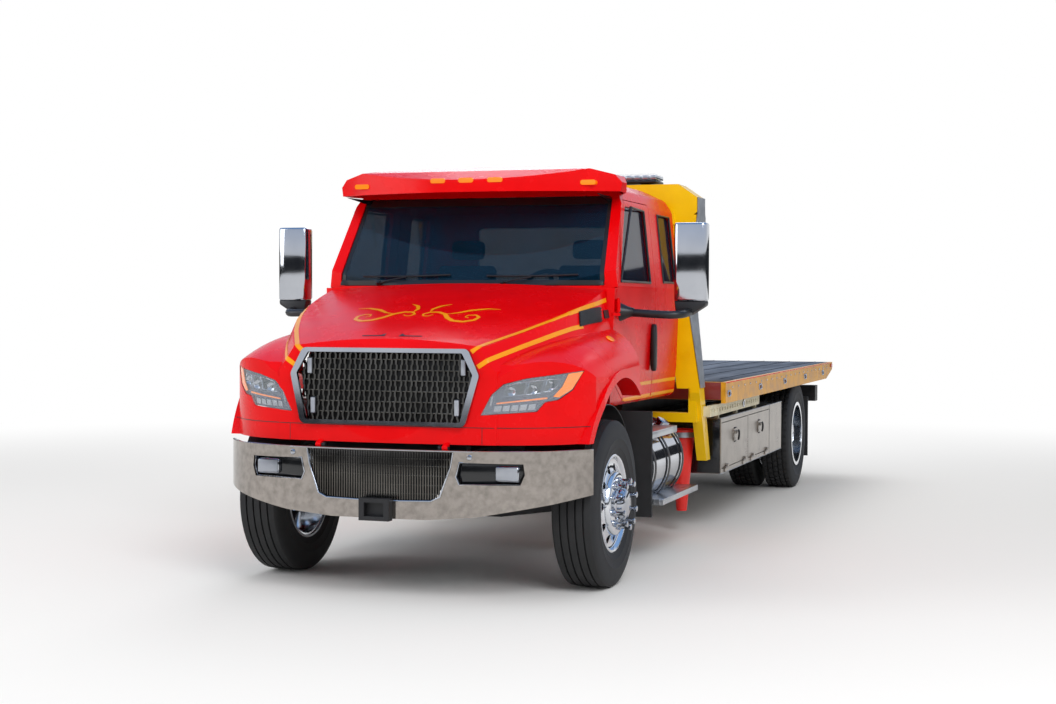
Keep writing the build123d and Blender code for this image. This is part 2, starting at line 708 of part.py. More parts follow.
with BuildPart() as door_knuckles:
    for level in pin_levels:
        high = (level - pin_length / 2, level + pin_length / 2 - move_gap)
        bar_z(13, *door_hinge, high)
        plan_prism(((door_hinge[0] - 8, door_hinge[1] - 3), (door_hinge[0] + 10, door_hinge[1] + 5),
                    (1024, 560), (990, 560), (990, 518), (1023, 507)), high)
        bar_z(door_pin_radius + fit_gap, *door_hinge, (high[0] - 5, high[1] + 5), Mode.SUBTRACT)
door_leaf = cab_wall_solid & side_cutter(door_outline, 0, 12)
door_leaf -= side_cutter(door_window, 0, 30)
with BuildPart() as handle:
    side_prism(((1440, 1310), (1490, 1310), (1490, 1580), (1440, 1580)), (1008, 1040), 15)
door_leaf = door_leaf + (door_knuckles.part - cab_form(cab_wall / 2)) + handle.part
keep_pair(door_leaf, "door")
keep_pair(glass_layer & side_cutter(door_window, fit_gap, 30), "door_glass")

mirror_head = ((1327, 1547), (775, 905), (1760, 2280))
with BuildPart() as door_mirror:
    slab(*mirror_head)
    fillet(door_mirror.edges().filter_by(Axis.Z), 45)
    slab((1400, 1450), (825, 855), (1640, 1765))
    front_prism(((1000, 1662), (1450, 1640), (1450, 1675), (1000, 1746)), (610, 650))
    slab((1400, 1450), (610, 850), (1640, 1675))
keep_pair(door_mirror.part - cab_form(-fit_gap), "door_mirror")

# ---- Sun visor and marker lamps ----
visor_side = ((440, 2484), (440, 2560), (600, 2632), (800, 2668), (1160, 2640), (1160, 2484))
visor_front = ((995, 2484), (1005, 2545), (960, 2595), (760, 2645), (300, 2668))
visor_wall = 8


def visor_form(inset):
    """Visor brow; the underside stays open."""
    with BuildPart() as form:
        front_prism(both_sides(visor_front), (300, 1300), 0, inset)
        side_prism(visor_side, (-1100, 1100), 0, inset, Mode.INTERSECT)
        with BuildSketch(Plane.XY.offset(2400)) as plan:
            with BuildLine():
                ThreePointArc((-1010, back(690)), (0, back(452)), (1010, back(690)))
                Polyline((1010, back(690)), (1010, back(790)), (860, back(1150)), (-860, back(1150)),
                         (-1010, back(790)), (-1010, back(690)))
            make_face()
            if inset:
                offset(amount=-inset, mode=Mode.REPLACE)
        extrude(plan.sketch, amount=400, mode=Mode.INTERSECT)
    return form.part


visor_hollow = visor_form(visor_wall)
visor_skin = visor_form(0) - visor_hollow - Pos(0, 0, -2 * visor_wall) * visor_hollow
keep(visor_skin - cab_form(-fit_gap), "sun_visor")

# x, y, z of each marker lamp's face
marker_places = ((-804, 588, 2540), (-201, 468, 2560), (0, 460, 2560), (201, 468, 2560), (804, 588, 2540))
with BuildPart() as marker_lamps:
    for x, y, z in marker_places:
        slab((x - 52, x + 52), (y - 14, y + 30), (z - 16, z + 16))
    fillet(marker_lamps.edges().filter_by(Axis.Y), 14)
keep(marker_lamps.part - visor_form(-fit_gap), "marker_lamps")

# ---- Inside the cab ----
dash_half = 850
with BuildPart() as dashboard:
    side_prism(((540, 1500), (520, 1780), (600, 1838), (800, 1830), (900, 1760), (860, 1560), (700, 1500)),
               (-dash_half, dash_half), 15)
    wheel_plane = Plane(origin=(450, back(1000), 1800), x_dir=(1, 0, 0), z_dir=(0, 0.78, 0.62))
    with Locations(wheel_plane):
        Torus(215, 15)
        Cylinder(50, 20)
        Box(410, 30, 12)
        with Locations((0, -105, 0)):
            Box(30, 205, 12)
        with Locations((0, 0, -110)):
            Cylinder(28, 220)
keep(dashboard.part - cab_form(0) + (dashboard.part & cab_form(cab_wall + fit_gap)), "dashboard")

seat_side = ((1150, 1420), (1660, 1400), (1790, 2010), (1780, 2230), (1690, 2240), (1640, 2030),
             (1560, 1560), (1150, 1570))
with BuildPart() as seats:
    side_prism(seat_side, (215, 725), 20)
    slab((290, 650), (1220, 1600), (cab_low + cab_wall + fit_gap, 1450))
    mirror(about=Plane.YZ)
keep(seats.part, "seats")

# ---- Things hung on the chassis beside the cab ----
tank_radius = 290
tank_place = (850, 640)
tank_span = (950, 1930)
with BuildPart() as fuel_tanks:
    bar_y(tank_radius, tank_place[0], tank_span, tank_place[1])
    fillet(fuel_tanks.edges(), 30)
    mirror(about=Plane.YZ)
keep(fuel_tanks.part, "fuel_tanks")

with BuildPart() as tank_steps:
    for place in (1050, 1440, 1830):
        bar_y(tank_radius + 8, tank_place[0], (place - 30, place + 30), tank_place[1])
        slab((rail_outer_x + fit_gap, tank_place[0]), (place - 30, place + 30), (500, 840))
        slab((900, 1190), (place - 20, place + 20), (405, 520))
    for place in (1050, 1600):
        slab((880, 1150), (place - 20, place + 20), (700, 875))
    slab((900, 1150), (950, 1650), (868, 893))
    slab((950, 1200), (1050, 2100), (405, 430))
    bar_y(tank_radius + fit_gap, tank_place[0], (900, 2150), tank_place[1], Mode.SUBTRACT)
    mirror(about=Plane.YZ)
keep(tank_steps.part, "tank_steps")

with BuildPart() as exhaust:
    bar_y(150, -690, (2130, 2740), 600)
    bar_y(45, -690, (2060, 2810), 600)
    slab((-640, -rail_outer_x - fit_gap), (2250, 2300), (680, 760))
    slab((-640, -rail_outer_x - fit_gap), (2560, 2610), (680, 760))
keep(exhaust.part, "exhaust")

with BuildPart() as splash_guards:
    slab((620, 1190), (780, 800), (340, 1040))
    slab((rail_outer_x + fit_gap, 1100), (800, 830), (780, 840))
    mirror(about=Plane.YZ)

cone_place = (945, 2665)
with BuildPart() as cone_holder:
    bar_z(118, *cone_place, (735, 775))
    slab((rail_outer_x + fit_gap, 870), (cone_place[1] - 15, cone_place[1] + 15), (735, 775))
    bar_z(101, *cone_place, (700, 800), Mode.SUBTRACT)
keep(cone_holder.part, "cone_holder")
with BuildPart() as cone:
    cone_plane = Plane(origin=(cone_place[0], back(cone_place[1]), 476), z_dir=(0, 0, 1))
    with Locations(cone_plane):
        Cone(40, 98, 620)
        Cone(35, 93, 620, mode=Mode.SUBTRACT)
    with Locations((cone_place[0], back(cone_place[1]), 775.3 + 8)):
        Cylinder(125, 16)
        Cylinder(94, 16, mode=Mode.SUBTRACT)
keep(cone.part, "traffic_cone")

# ---- Pylon and light bar behind the cab ----
pylon_span = (2350, 2600)
pylon_top = 2650
beam_face = ((987, 2340), (1124, 2440), (1124, 2550), (980, pylon_top))
leg_side = ((2350, 2420), (2350, 1120), (2500, 1120), (2650, 1700), (2650, 2420))
foot_side = ((2350, 1150), (2350, 1090), (2610, 560), (2740, 560), (2500, 1130), (2500, 1150))
with BuildPart() as pylon_half:
    side_prism(leg_side, (900, 1160))
    front_prism(((905, 2420), (1120, 2420), (1062, 1700), (1156, 1100), (980, 1100), (905, 1700)),
                (2300, 2700), 0, 0, Mode.INTERSECT)
    front_prism(((0, 2340), *beam_face, (0, pylon_top)), pylon_span)
    slab((850, 950), (2262, 2360), (2350, 2440))
    side_prism(foot_side, (1075, 1150))
    slab((-1, 1120), (2380, 2480), (rail_high + fit_gap, 935))
    slab((1060, 1120), (2380, 2480), (rail_high + fit_gap, 1130))
    mirror(about=Plane.YZ)
keep(pylon_half.part, "pylon")

with BuildPart() as light_bar:
    slab((-810, 810), (2345, 2600), (2664, 2735))
    fillet(light_bar.edges().filter_by(Axis.Z), 60)
    slab((-730, -670), (2420, 2520), (pylon_top + fit_gap, 2670))
    slab((670, 730), (2420, 2520), (pylon_top + fit_gap, 2670))
keep(light_bar.part, "light_bar")

# ---- Toolboxes ----
leaf_spans = ((2870, 3880), (3920, 4850))
leaf_levels = (box_low + box_frame, box_high - box_frame)
box_hinge = (box_outer_x + 9, box_low + box_frame - 2)
lug_length = 60


def hinge_places(leaf):
    """Two hinge places along the bottom of a drop-down leaf."""
    return leaf[0] + 150, leaf[1] - 150


with BuildPart() as toolbox:
    slab((box_inner_x, box_outer_x), box_span, (box_low, box_high))
    slab((box_inner_x + box_wall, box_outer_x - box_wall), (box_span[0] + box_wall, 4870 - box_wall / 2),
         (box_low + box_wall, box_high - box_wall), Mode.SUBTRACT)
    slab((box_inner_x + box_wall, box_outer_x - box_wall), (4870 + box_wall / 2, box_span[1] - box_wall),
         (box_low + box_wall, box_high - box_wall), Mode.SUBTRACT)
    for leaf in leaf_spans:
        slab((box_outer_x - 40, box_outer_x + 10), (leaf[0] - move_gap, leaf[1] + move_gap),
             (leaf_levels[0] - move_gap, leaf_levels[1] + move_gap), Mode.SUBTRACT)
        for place in hinge_places(leaf):
            lug = (place - lug_length, place - 2)
            slab((box_outer_x - 3, box_hinge[0]), lug, (box_low + 5, box_hinge[1]))
            bar_y(8, box_hinge[0], lug, box_hinge[1])
            bar_y(box_pin_radius, box_hinge[0], (lug[0], place + lug_length), box_hinge[1])
    for place in (3000, 5250):
        slab((rail_outer_x + fit_gap, box_inner_x), (place - 30, place + 30), (650, 830))
keep(toolbox.part + mirror(toolbox.part, about=Plane.YZ), "toolboxes")

for number, leaf in enumerate(leaf_spans, 1):
    with BuildPart() as box_door:
        slab((box_outer_x - leaf_wall, box_outer_x), leaf, leaf_levels)
        middle = mid(leaf)
        slab((box_outer_x, box_outer_x + 22), (middle - 60, middle + 60), (720, 742))
        slab((box_outer_x, box_outer_x + 8), (middle - 75, middle + 75), (665, 760))
        for place in hinge_places(leaf):
            barrel = (place, place + lug_length - 2)
            bar_y(8, box_hinge[0], barrel, box_hinge[1])
            slab((box_outer_x - 4, box_hinge[0] + 8), barrel, (box_hinge[1], box_hinge[1] + 25))
            bar_y(box_pin_radius + fit_gap, box_hinge[0], (barrel[0] - 2, barrel[1] + 2), box_hinge[1],
                  Mode.SUBTRACT)
    keep_pair(box_door.part, f"toolbox_door_{number}")

with BuildPart() as tie_rails:
    slab((1178, 1203), (2490, 4440), (900, 985))
    slab((1150 + fit_gap, 1180), (2490, 2550), (905, 980))
    for place in (2900, 3600, 4400):
        slab((1150, 1180), (place - 20, place + 20), (box_high + fit_gap, 985))
    with Locations(*[Location((1190, back(2550 + hole * 96), 942), (0, 90, 0)) for hole in range(20)]):
        Cylinder(18, 60, mode=Mode.SUBTRACT)
    mirror(about=Plane.YZ)
keep(tie_rails.part, "tie_rails")

# ---- Tail of the chassis ----
with BuildPart() as mud_flaps:
    slab((rail_outer_x + fit_gap, 1215), (6940, 6975), (800, 840))
    slab((610, 1215), (6950, 6962), (250, 815))
    mirror(about=Plane.YZ)
keep(splash_guards.part + mud_flaps.part, "mud_flaps")

with BuildPart() as rear_light_bar:
    slab((460, 1200), (7500, 7650), (770, 930))
    slab((rail_outer_x + fit_gap, 470), (7540, 7610), (780, 850))
    for x in (700, 900, 1100):
        bar_y(48, x, (7640, 7664), 850)
    mirror(about=Plane.YZ)
keep(rear_light_bar.part, "rear_light_bar")

# ---- Load bed ----
with BuildPart() as tilt_frame:
    for side in (-1, 1):
        beam = sorted((side * (sill_half - sill_wall + 2), side * (sill_half - 2)))
        slab(beam, (2760, 7600), (rail_high + move_gap, sill_low - fit_gap))
        eye = sorted((side * 388, side * 432))
        slab(eye, (7590, tilt_pivot[0] + 20), (rail_high + move_gap, sill_low - fit_gap))
        bar_x(tilt_pin_radius + fit_gap, eye, *tilt_pivot, Mode.SUBTRACT)
        lug = sorted((side * (cylinder_x - 45), side * (cylinder_x - 30)))
        slab(lug, (tilt_member_places[3] + 10, cylinder_eye[0] + 30), (cylinder_eye[1] - 30, sill_low - 25))
    for place in tilt_member_places:
        inner = sill_half - sill_wall + 2
        slab((-inner, inner), (place - 30, place + 30), (rail_high + 15, sill_low - 10))
keep(tilt_frame.part, "tilt_frame")

# y, z of the deck rail's side view
rail_side = ((deck_front, deck_rail_low), (7760, deck_rail_low), (8150, 1080), (tail_reach, 1115),
             (8150, deck_floor_high), (deck_front, deck_floor_high))
slot_places = (2825, 4103, 5272, 6399, 7494)
with BuildPart() as deck:
    edge = deck_half - deck_rail_wall - fit_gap
    slab((-edge, edge), (deck_front + 40, 8130), (deck_floor_high - deck_floor_wall, deck_floor_high))
    side_prism(((8000, deck_floor_high - deck_floor_wall), (8000, 1050), (8110, 1080),
                (8130, deck_floor_high - deck_floor_wall)), (-edge, edge))
    slab((-edge, edge), (deck_front + 40, winch_plate_rear), (deck_floor_high, deck_floor_high + winch_plate_wall))
    for number in range(9):
        place = 2900 + number * 610
        slab((-edge, edge), (place - 30, place + 30), (deck_member_low, deck_floor_high - deck_floor_wall))
keep(deck.part, "deck")
with BuildPart() as deck_sills:
    slab((sill_half - sill_wall, sill_half), (deck_front + 60, 7990),
         (sill_low, deck_member_low - fit_gap))
    mirror(about=Plane.YZ)
keep(deck_sills.part, "deck_sills")

with BuildPart() as deck_rails:
    side_prism(rail_side, (deck_half - deck_rail_wall, deck_half))
    for place in slot_places:
        slab((deck_half - 12, deck_half + 5), (place - 55, place + 55), (1048, 1084), Mode.SUBTRACT)
    mirror(about=Plane.YZ)
    edge = deck_half - deck_rail_wall
    slab((-edge, edge), (deck_front, deck_front + 39), (1020, deck_floor_high))
keep(deck_rails.part, "deck_rails")

with BuildPart() as tail_lamps:
    slab((deck_half + fit_gap, deck_half + 12), (8040, 8110), (1105, 1140))
    mirror(about=Plane.YZ)
keep(tail_lamps.part, "tail_lamps")

with BuildPart() as winch:
    high = deck_floor_high + winch_plate_wall + fit_gap
    slab((-320, 320), (2800, 3100), (high, high + 12))
    for side in (-1, 1):
        slab(sorted((side * 300, side * 315)), (2820, 3080), (high + 10, 1390))
    bar_x(95, (-270, 270), 2950, 1290)
    bar_x(120, (-285, -270), 2950, 1290)
    bar_x(120, (270, 285), 2950, 1290)
    bar_x(30, (-300, 300), 2950, 1290)
    bar_x(14, (-300, 300), 3060, 1375)
keep(winch.part, "winch")

# ---- Lift cylinders ----
rise = atan2(cylinder_eye[1] - cylinder_base[1], cylinder_eye[0] - cylinder_base[0])
closed_length = hypot(cylinder_eye[1] - cylinder_base[1], cylinder_eye[0] - cylinder_base[0])
barrel_length = closed_length - 330
cylinder_plane = Plane(origin=(0, back(cylinder_base[0]), cylinder_base[1]), x_dir=(1, 0, 0),
                       z_dir=(0, cos(rise), sin(rise)))
with BuildPart() as lift_barrels:
    with Locations(cylinder_plane):
        with Locations((cylinder_x, 0, barrel_length / 2 + 45)):
            Cylinder(barrel_radius, barrel_length - 20)
        with Locations((cylinder_x, 0, 30)):
            Box(46, 50, 70)
    bar_x(32, (cylinder_x - 23, cylinder_x + 23), *cylinder_base)
    bar_x(15 + fit_gap, (cylinder_x - 40, cylinder_x + 40), *cylinder_base, Mode.SUBTRACT)
    with Locations(cylinder_plane):
        with Locations((cylinder_x, 0, barrel_length / 2 + 260)):
            Cylinder(rod_radius + fit_gap, barrel_length, mode=Mode.SUBTRACT)
    mirror(about=Plane.YZ)
keep(lift_barrels.part, "lift_barrels")
with BuildPart() as lift_rods:
    with Locations(cylinder_plane):
        with Locations((cylinder_x, 0, (closed_length - 400) / 2 + 380)):
            Cylinder(rod_radius, closed_length - 400)
    bar_x(36, (cylinder_x - 23, cylinder_x + 23), *cylinder_eye)
    bar_x(15, (cylinder_x - 30 + fit_gap, cylinder_x + 30), *cylinder_eye)
    mirror(about=Plane.YZ)
keep(lift_rods.part, "lift_rods")

# ---- Wheel lift ----
with BuildPart() as wheel_lift_boom:
    slab((-85, 85), (7200, 7950), (420, 540))
    slab((-65, 65), (7300, 7960), (440, 520), Mode.SUBTRACT)
    bar_x(25 + fit_gap, (-90, 90), *lift_pivot, Mode.SUBTRACT)
keep(wheel_lift_boom.part, "wheel_lift_boom")
with BuildPart() as stinger:
    slab((-64.7, 64.7), (7320, 8040), (440.3, 519.7))
    slab((-620, 620), (8040, 8140), (430, 530))
    slab((-620, -560), (8140, 8165), (430, 600))
    slab((560, 620), (8140, 8165), (430, 600))
keep(stinger.part, "wheel_lift_crossbar")
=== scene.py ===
"""Dresses the frame of a rollback tow truck with its finishes, glass, lamps, tyres, seats and fittings."""

from __future__ import annotations

import logging
import math
from contextlib import contextmanager
from dataclasses import dataclass, field
from enum import Enum
from typing import Any, Callable, Iterator, Sequence

import bpy
from mathutils import Matrix, Vector

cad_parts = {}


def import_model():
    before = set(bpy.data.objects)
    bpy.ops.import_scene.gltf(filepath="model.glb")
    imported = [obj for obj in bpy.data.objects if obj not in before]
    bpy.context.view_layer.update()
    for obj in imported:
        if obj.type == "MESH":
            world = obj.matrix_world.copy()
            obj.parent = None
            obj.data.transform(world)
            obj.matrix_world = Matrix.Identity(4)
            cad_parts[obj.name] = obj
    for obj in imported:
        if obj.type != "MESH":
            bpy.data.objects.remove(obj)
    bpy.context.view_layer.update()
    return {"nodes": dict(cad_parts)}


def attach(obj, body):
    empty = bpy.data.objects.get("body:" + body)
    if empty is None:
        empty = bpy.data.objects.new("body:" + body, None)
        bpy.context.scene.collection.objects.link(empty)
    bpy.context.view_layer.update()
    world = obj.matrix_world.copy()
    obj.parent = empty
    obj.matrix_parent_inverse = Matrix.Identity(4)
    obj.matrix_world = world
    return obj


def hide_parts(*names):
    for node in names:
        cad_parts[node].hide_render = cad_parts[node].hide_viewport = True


log = logging.getLogger("tow_truck")

Point = tuple[float, float, float]
Flat = tuple[float, float]
FRONT_AXLE = -3.5675  # the frame's y at the front axle, in metres
HOOD_HEART = (0.0, 300.0, 1000.0)  # a point inside the hood, in millimetres
CAST_FROM = 0.15  # how far outside a surface a ray towards it starts, in metres
AHEAD, NOSE = -1500.0, -900.0  # places ahead of the truck and at its nose, in millimetres from the axle


# ---------------------------------------------------------------- colour and nodes


def linear(shade: str) -> tuple[float, float, float, float]:
    """Turns an sRGB hex colour into the linear values that shaders use.

    Args:
        shade: A colour such as "#c8102e".

    Returns:
        Red, green, blue and an alpha of 1, linear.
    """
    parts = [int(shade[i : i + 2], 16) / 255 for i in (1, 3, 5)]
    red, green, blue = [p / 12.92 if p <= 0.04045 else ((p + 0.055) / 1.055) ** 2.4 for p in parts]
    return red, green, blue, 1.0


def placed(name: str, data: bpy.types.ID) -> bpy.types.Object:
    """Puts a new object with some data in the scene."""
    piece = bpy.data.objects.new(name, data)
    bpy.context.scene.collection.objects.link(piece)
    return piece


def bare_tree(owner: bpy.types.Material | bpy.types.World) -> bpy.types.NodeTree:
    """Gives the empty node tree of a material or world."""
    owner.use_nodes = True
    owner.node_tree.nodes.clear()
    return owner.node_tree


def add_node(
    tree: bpy.types.NodeTree, kind: str, inputs: dict[str | int, Any] | None = None, **settings: Any
) -> bpy.types.Node:
    """Adds one shader node with its settings, values and links.

    Args:
        tree: The node tree of the material.
        kind: The node's type name.
        inputs: Values by socket name or number; an output socket is linked.
        settings: Attributes of the node itself.

    Returns:
        The new node.
    """
    node = tree.nodes.new(kind)
    for key, value in settings.items():
        setattr(node, key, value)
    for key, value in (inputs or {}).items():
        if isinstance(value, bpy.types.NodeSocket):
            tree.links.new(value, node.inputs[key])
        else:
            node.inputs[key].default_value = value
    return node


def worked_out(tree: bpy.types.NodeTree, operation: str, *values: Any) -> bpy.types.NodeSocket:
    """Adds a maths node on some values, and gives its result."""
    return add_node(tree, "ShaderNodeMath", dict(enumerate(values)), operation=operation).outputs[0]


def ramp(tree: bpy.types.NodeTree, source: bpy.types.NodeSocket, stops: Sequence[tuple[float, str]]) -> Any:
    """Colours a value from 0 to 1 by a ramp.

    Args:
        tree: The node tree of the material.
        source: The value.
        stops: Pairs of place and hex colour, in order.

    Returns:
        The ramp's colour output.
    """
    node = add_node(tree, "ShaderNodeValToRGB", {"Fac": source})
    elements = node.color_ramp.elements
    while len(elements) < len(stops):
        elements.new(1.0)
    for element, (place, shade) in zip(elements, stops):
        element.position = place
        element.color = linear(shade)
    return node.outputs["Color"]


# ---------------------------------------------------------------- finishes


@dataclass(frozen=True)
class Finish:
    """A surface: what it is made of and how it was made.

    The patterns read Object coordinates in metres, and sizes are real millimetres. The colour lies in
    large soft patches between the two shades, and the smoother patches are the darker ones.
    """

    name: str
    shade: str
    shade_low: str
    metallic: float = 0.0
    roughness: float = 0.4
    roughness_spread: float = 0.08
    blotch_mm: float = 240.0
    grain_mm: float = 6.0
    bump: float = 0.02
    coat: float = 0.0
    stretch: Point = (1.0, 1.0, 1.0)
    alpha: float = 1.0
    emission: float = 0.0
    specular: float = 0.5

    def bump_height(self, tree: bpy.types.NodeTree, place: Any) -> Any:
        """Gives the height that the bump follows, from 0 to 1; by default fine grain."""
        grain = add_node(
            tree, "ShaderNodeTexNoise",
            {"Vector": place, "Scale": 1000.0 / self.grain_mm, "Detail": 3.0, "Roughness": 0.6}
        )
        return grain.outputs["Fac"]

    def build(self) -> bpy.types.Material:
        """Makes the material, once.

        Returns:
            The Blender material of this finish.
        """
        found = bpy.data.materials.get(f"{self.name}_finish")
        if found:
            return found
        material = bpy.data.materials.new(f"{self.name}_finish")
        tree = bare_tree(material)
        where = add_node(tree, "ShaderNodeTexCoord").outputs["Object"]
        place = add_node(tree, "ShaderNodeMapping", {"Vector": where, "Scale": self.stretch}).outputs["Vector"]
        blotch = add_node(
            tree, "ShaderNodeTexNoise", {"Vector": place, "Scale": 1000.0 / self.blotch_mm, "Detail": 5.0}
        ).outputs["Fac"]
        low = max(0.02, self.roughness - self.roughness_spread)
        rough = add_node(
            tree, "ShaderNodeMapRange",
            {"Value": blotch, "From Min": 0.3, "From Max": 0.7, "To Min": low, "To Max": self.roughness}
        ).outputs["Result"]
        height = self.bump_height(tree, place)
        bumped = add_node(
            tree, "ShaderNodeBump", {"Height": height, "Strength": 1.0, "Distance": self.bump / 1000.0}
        ).outputs["Normal"]
        surface = add_node(
            tree, "ShaderNodeBsdfPrincipled",
            {
                "Base Color": ramp(tree, blotch, ((0.3, self.shade_low), (0.62, self.shade))), "Roughness": rough,
                "Metallic": self.metallic, "Normal": bumped, "Coat Weight": self.coat, "Coat Roughness": 0.03,
                "Specular IOR Level": self.specular, "Alpha": self.alpha
            }
        )
        if self.emission:
            surface.inputs["Emission Color"].default_value = linear(self.shade)
            surface.inputs["Emission Strength"].default_value = self.emission
        add_node(tree, "ShaderNodeOutputMaterial", {"Surface": surface.outputs["BSDF"]})
        return material


@dataclass(frozen=True)
class TreadPlate(Finish):
    """Rolled plate with raised lozenges in two crossing directions, as walked on by boots."""

    pitch_mm: float = 34.0
    across: int = 0
    along: int = 1

    def bump_height(self, tree: bpy.types.NodeTree, place: Any) -> Any:
        """Raises a lozenge in each cell of a chequer, turned the other way in the next cell."""
        split = add_node(tree, "ShaderNodeSeparateXYZ", {0: place})
        scale = 1000.0 / self.pitch_mm
        waves = []
        for sign in (1.0, -1.0):
            slope = worked_out(tree, "MULTIPLY_ADD", split.outputs[self.along], sign, split.outputs[self.across])
            waves.append(worked_out(tree, "SINE", worked_out(tree, "MULTIPLY", slope, scale * math.pi)))
        level = worked_out(tree, "ABSOLUTE", worked_out(tree, "MULTIPLY", *waves))
        return add_node(
            tree, "ShaderNodeMapRange", {"Value": level, "From Min": 0.72, "From Max": 0.9},
            interpolation_type="SMOOTHSTEP"
        ).outputs["Result"]


class Finishes:
    """The truck's finishes, each built on first use."""

    # Two-pack enamel under clear lacquer, sprayed: deep colour, sharp highlights, faint orange peel.
    red = Finish("red_enamel", "#e60208", "#dd0207", roughness=0.3, grain_mm=9, bump=0.012, coat=0.04, specular=0.14)
    # Red enamel darkened as painted shade, for the shadow that lies on the deck's front face: duller, with soft
    # highlights.
    red_in_painted_shade = Finish("painted_shade_red_enamel", "#7d1712", "#64120f", roughness=0.4, grain_mm=9, bump=0.02, coat=0.3)
    # Yellow enamel, sprayed on pressed steel.
    yellow = Finish(
        "yellow_enamel", "#f7c900", "#edbd00", roughness=0.34, grain_mm=9, bump=0.012, coat=0.1, specular=0.3
    )
    # Powder coat on steel channel, rubbed by straps: satin and a little uneven.
    rail_yellow = Finish("rail_yellow_coat", "#e0a01c", "#b97e14", roughness=0.42, blotch_mm=120, bump=0.06)
    # Chassis paint, sprayed thick on rolled steel: satin, with a fine grain.
    black = Finish("black_chassis_paint", "#1b1b1d", "#111113", roughness=0.5, grain_mm=4, bump=0.05)
    # Cream paint on steel tube, rubbed by hooks and hands: dull and blotched.
    cream = Finish("cream_paint", "#d9d2b4", "#c2ba9a", roughness=0.5, blotch_mm=90, bump=0.05)
    # Bright nickel-chrome plate: almost a mirror.
    chrome = Finish("chrome_plate", "#b9bcc2", "#aaaeb5", metallic=1.0, roughness=0.1, roughness_spread=0.05)
    # The same plate on a large pressing, which waves a little: softer reflections. Its colour is darker and warmer
    # than the chrome's, a painted reflection of dark, grey-brown surroundings.
    bumper_chrome_painted_reflection = Finish(
        "bumper_chrome_painted_reflection", "#a19a94", "#8b857f", metallic=1.0, roughness=0.13, roughness_spread=0.06, blotch_mm=40
    )
    # Smoked chrome plate on moulded bars: darker and less sharp.
    dark_chrome = Finish("smoked_chrome", "#6c6964", "#4c4a46", metallic=1.0, roughness=0.24)
    # A core of fins and tubes under matt paint: rough and almost black.
    radiator = Finish("radiator_core", "#14120f", "#0c0b0a", roughness=0.7, grain_mm=4, bump=0.3)
    # A moulded lamp housing with a thin satin metal layer.
    bezel = Finish("satin_bezel", "#5f6478", "#4a4f60", metallic=0.85, roughness=0.22)
    # Gloss black moulding round and behind the lamps; it also dresses the painted shade on the toolboxes' front face.
    lamp_black = Finish("lamp_black", "#0a0d12", "#07090c", roughness=0.2, coat=0.4)
    # Clear polycarbonate moulded with fine ribs, which spread the light.
    frosted = Finish("ribbed_clear_lens", "#a4a8b0", "#868b95", roughness=0.18, grain_mm=5, bump=0.5, coat=0.5)
    # Forged aluminium, turned and polished: bright with a faint grain.
    polished = Finish("polished_aluminium", "#dfe2e6", "#cfd3d8", metallic=1.0, roughness=0.16)
    # Rolled aluminium tread plate, bent into boxes: its lozenges stand upright.
    box_plate = TreadPlate(
        "tread_aluminium_side", "#aaa39b", "#857d75", metallic=1.0, roughness=0.34, bump=0.9, across=2
    )
    # The same plate laid flat, and worn bright by boots.
    step_plate = TreadPlate("tread_aluminium_step", "#c9ccd0", "#aaaeb4", metallic=1.0, roughness=0.34, bump=0.9)
    # Bare rolled steel, scuffed lengthwise by tyres and loads: dull and streaked.
    deck_plate = Finish(
        "deck_steel", "#717b8b", "#3f4754", roughness=0.85, blotch_mm=180, grain_mm=3, bump=0.15,
        stretch=(1.0, 0.12, 1.0), specular=0.05
    )
    # Weld beads on the deck, darker than its plate.
    deck_seam = Finish("deck_weld", "#3d434e", "#2c3039", roughness=0.7, bump=0.1, specular=0.0)
    # Sand-cast iron with a film of oil: dark and rough.
    cast = Finish("cast_iron", "#2c2c2e", "#1c1c1e", metallic=0.3, roughness=0.7, grain_mm=3, bump=0.2)
    # Moulded and cured tyre rubber: matt, and a little dusty.
    rubber = Finish("tyre_rubber", "#232324", "#19191a", roughness=0.75, blotch_mm=70, grain_mm=2, bump=0.08)
    # Moulded black plastic with a fine pebbled grain.
    plastic = Finish("moulded_black_plastic", "#19191b", "#121214", roughness=0.45, grain_mm=1.6, bump=0.06)
    # Moulded cabin plastic with a soft grain.
    trim = Finish("cabin_plastic", "#3b3d42", "#303237", roughness=0.6, grain_mm=2.2, bump=0.1)
    # Float glass with a blue-grey tint.
    glass = Finish(
        "tinted_glass", "#07263a", "#062030", roughness=0.05, bump=0.0, coat=0.15, alpha=0.62, specular=0.25
    )
    # Clear polycarbonate, moulded and hard-coated.
    lens = Finish("clear_lens", "#dfe6ec", "#cfd8e0", roughness=0.04, bump=0.0, coat=0.15, alpha=0.13, specular=0.3)
    # Amber polycarbonate with a faint glow of its own.
    amber = Finish("amber_lens", "#ff8a00", "#f07800", roughness=0.15, bump=0.01, coat=0.5, emission=0.15)
    # Red polycarbonate, moulded.
    red_lens = Finish("red_lens", "#b01010", "#8a0808", roughness=0.15, bump=0.01, coat=0.5)
    # Moulded flexible vinyl: satin.
    cone_red = Finish("cone_vinyl", "#e8281e", "#cf1d16", roughness=0.5, bump=0.03)
    # Cast vinyl film, cut to shape and laid on the paint.
    gold = Finish("gold_vinyl", "#f6a000", "#ee9600", roughness=0.36, bump=0.01, coat=0.1, specular=0.3)
    # Woven seat cloth: matt, with its weave as the bump.
    cloth = Finish("seat_cloth", "#4a4d55", "#3a3d44", roughness=0.9, grain_mm=2.5, bump=0.4)
    # Steel dipped in molten zinc: dull grey in patches.
    galvanised = Finish("galvanised_steel", "#a9adb2", "#8f949a", metallic=0.8, roughness=0.45, blotch_mm=60)


# ---------------------------------------------------------------- stage


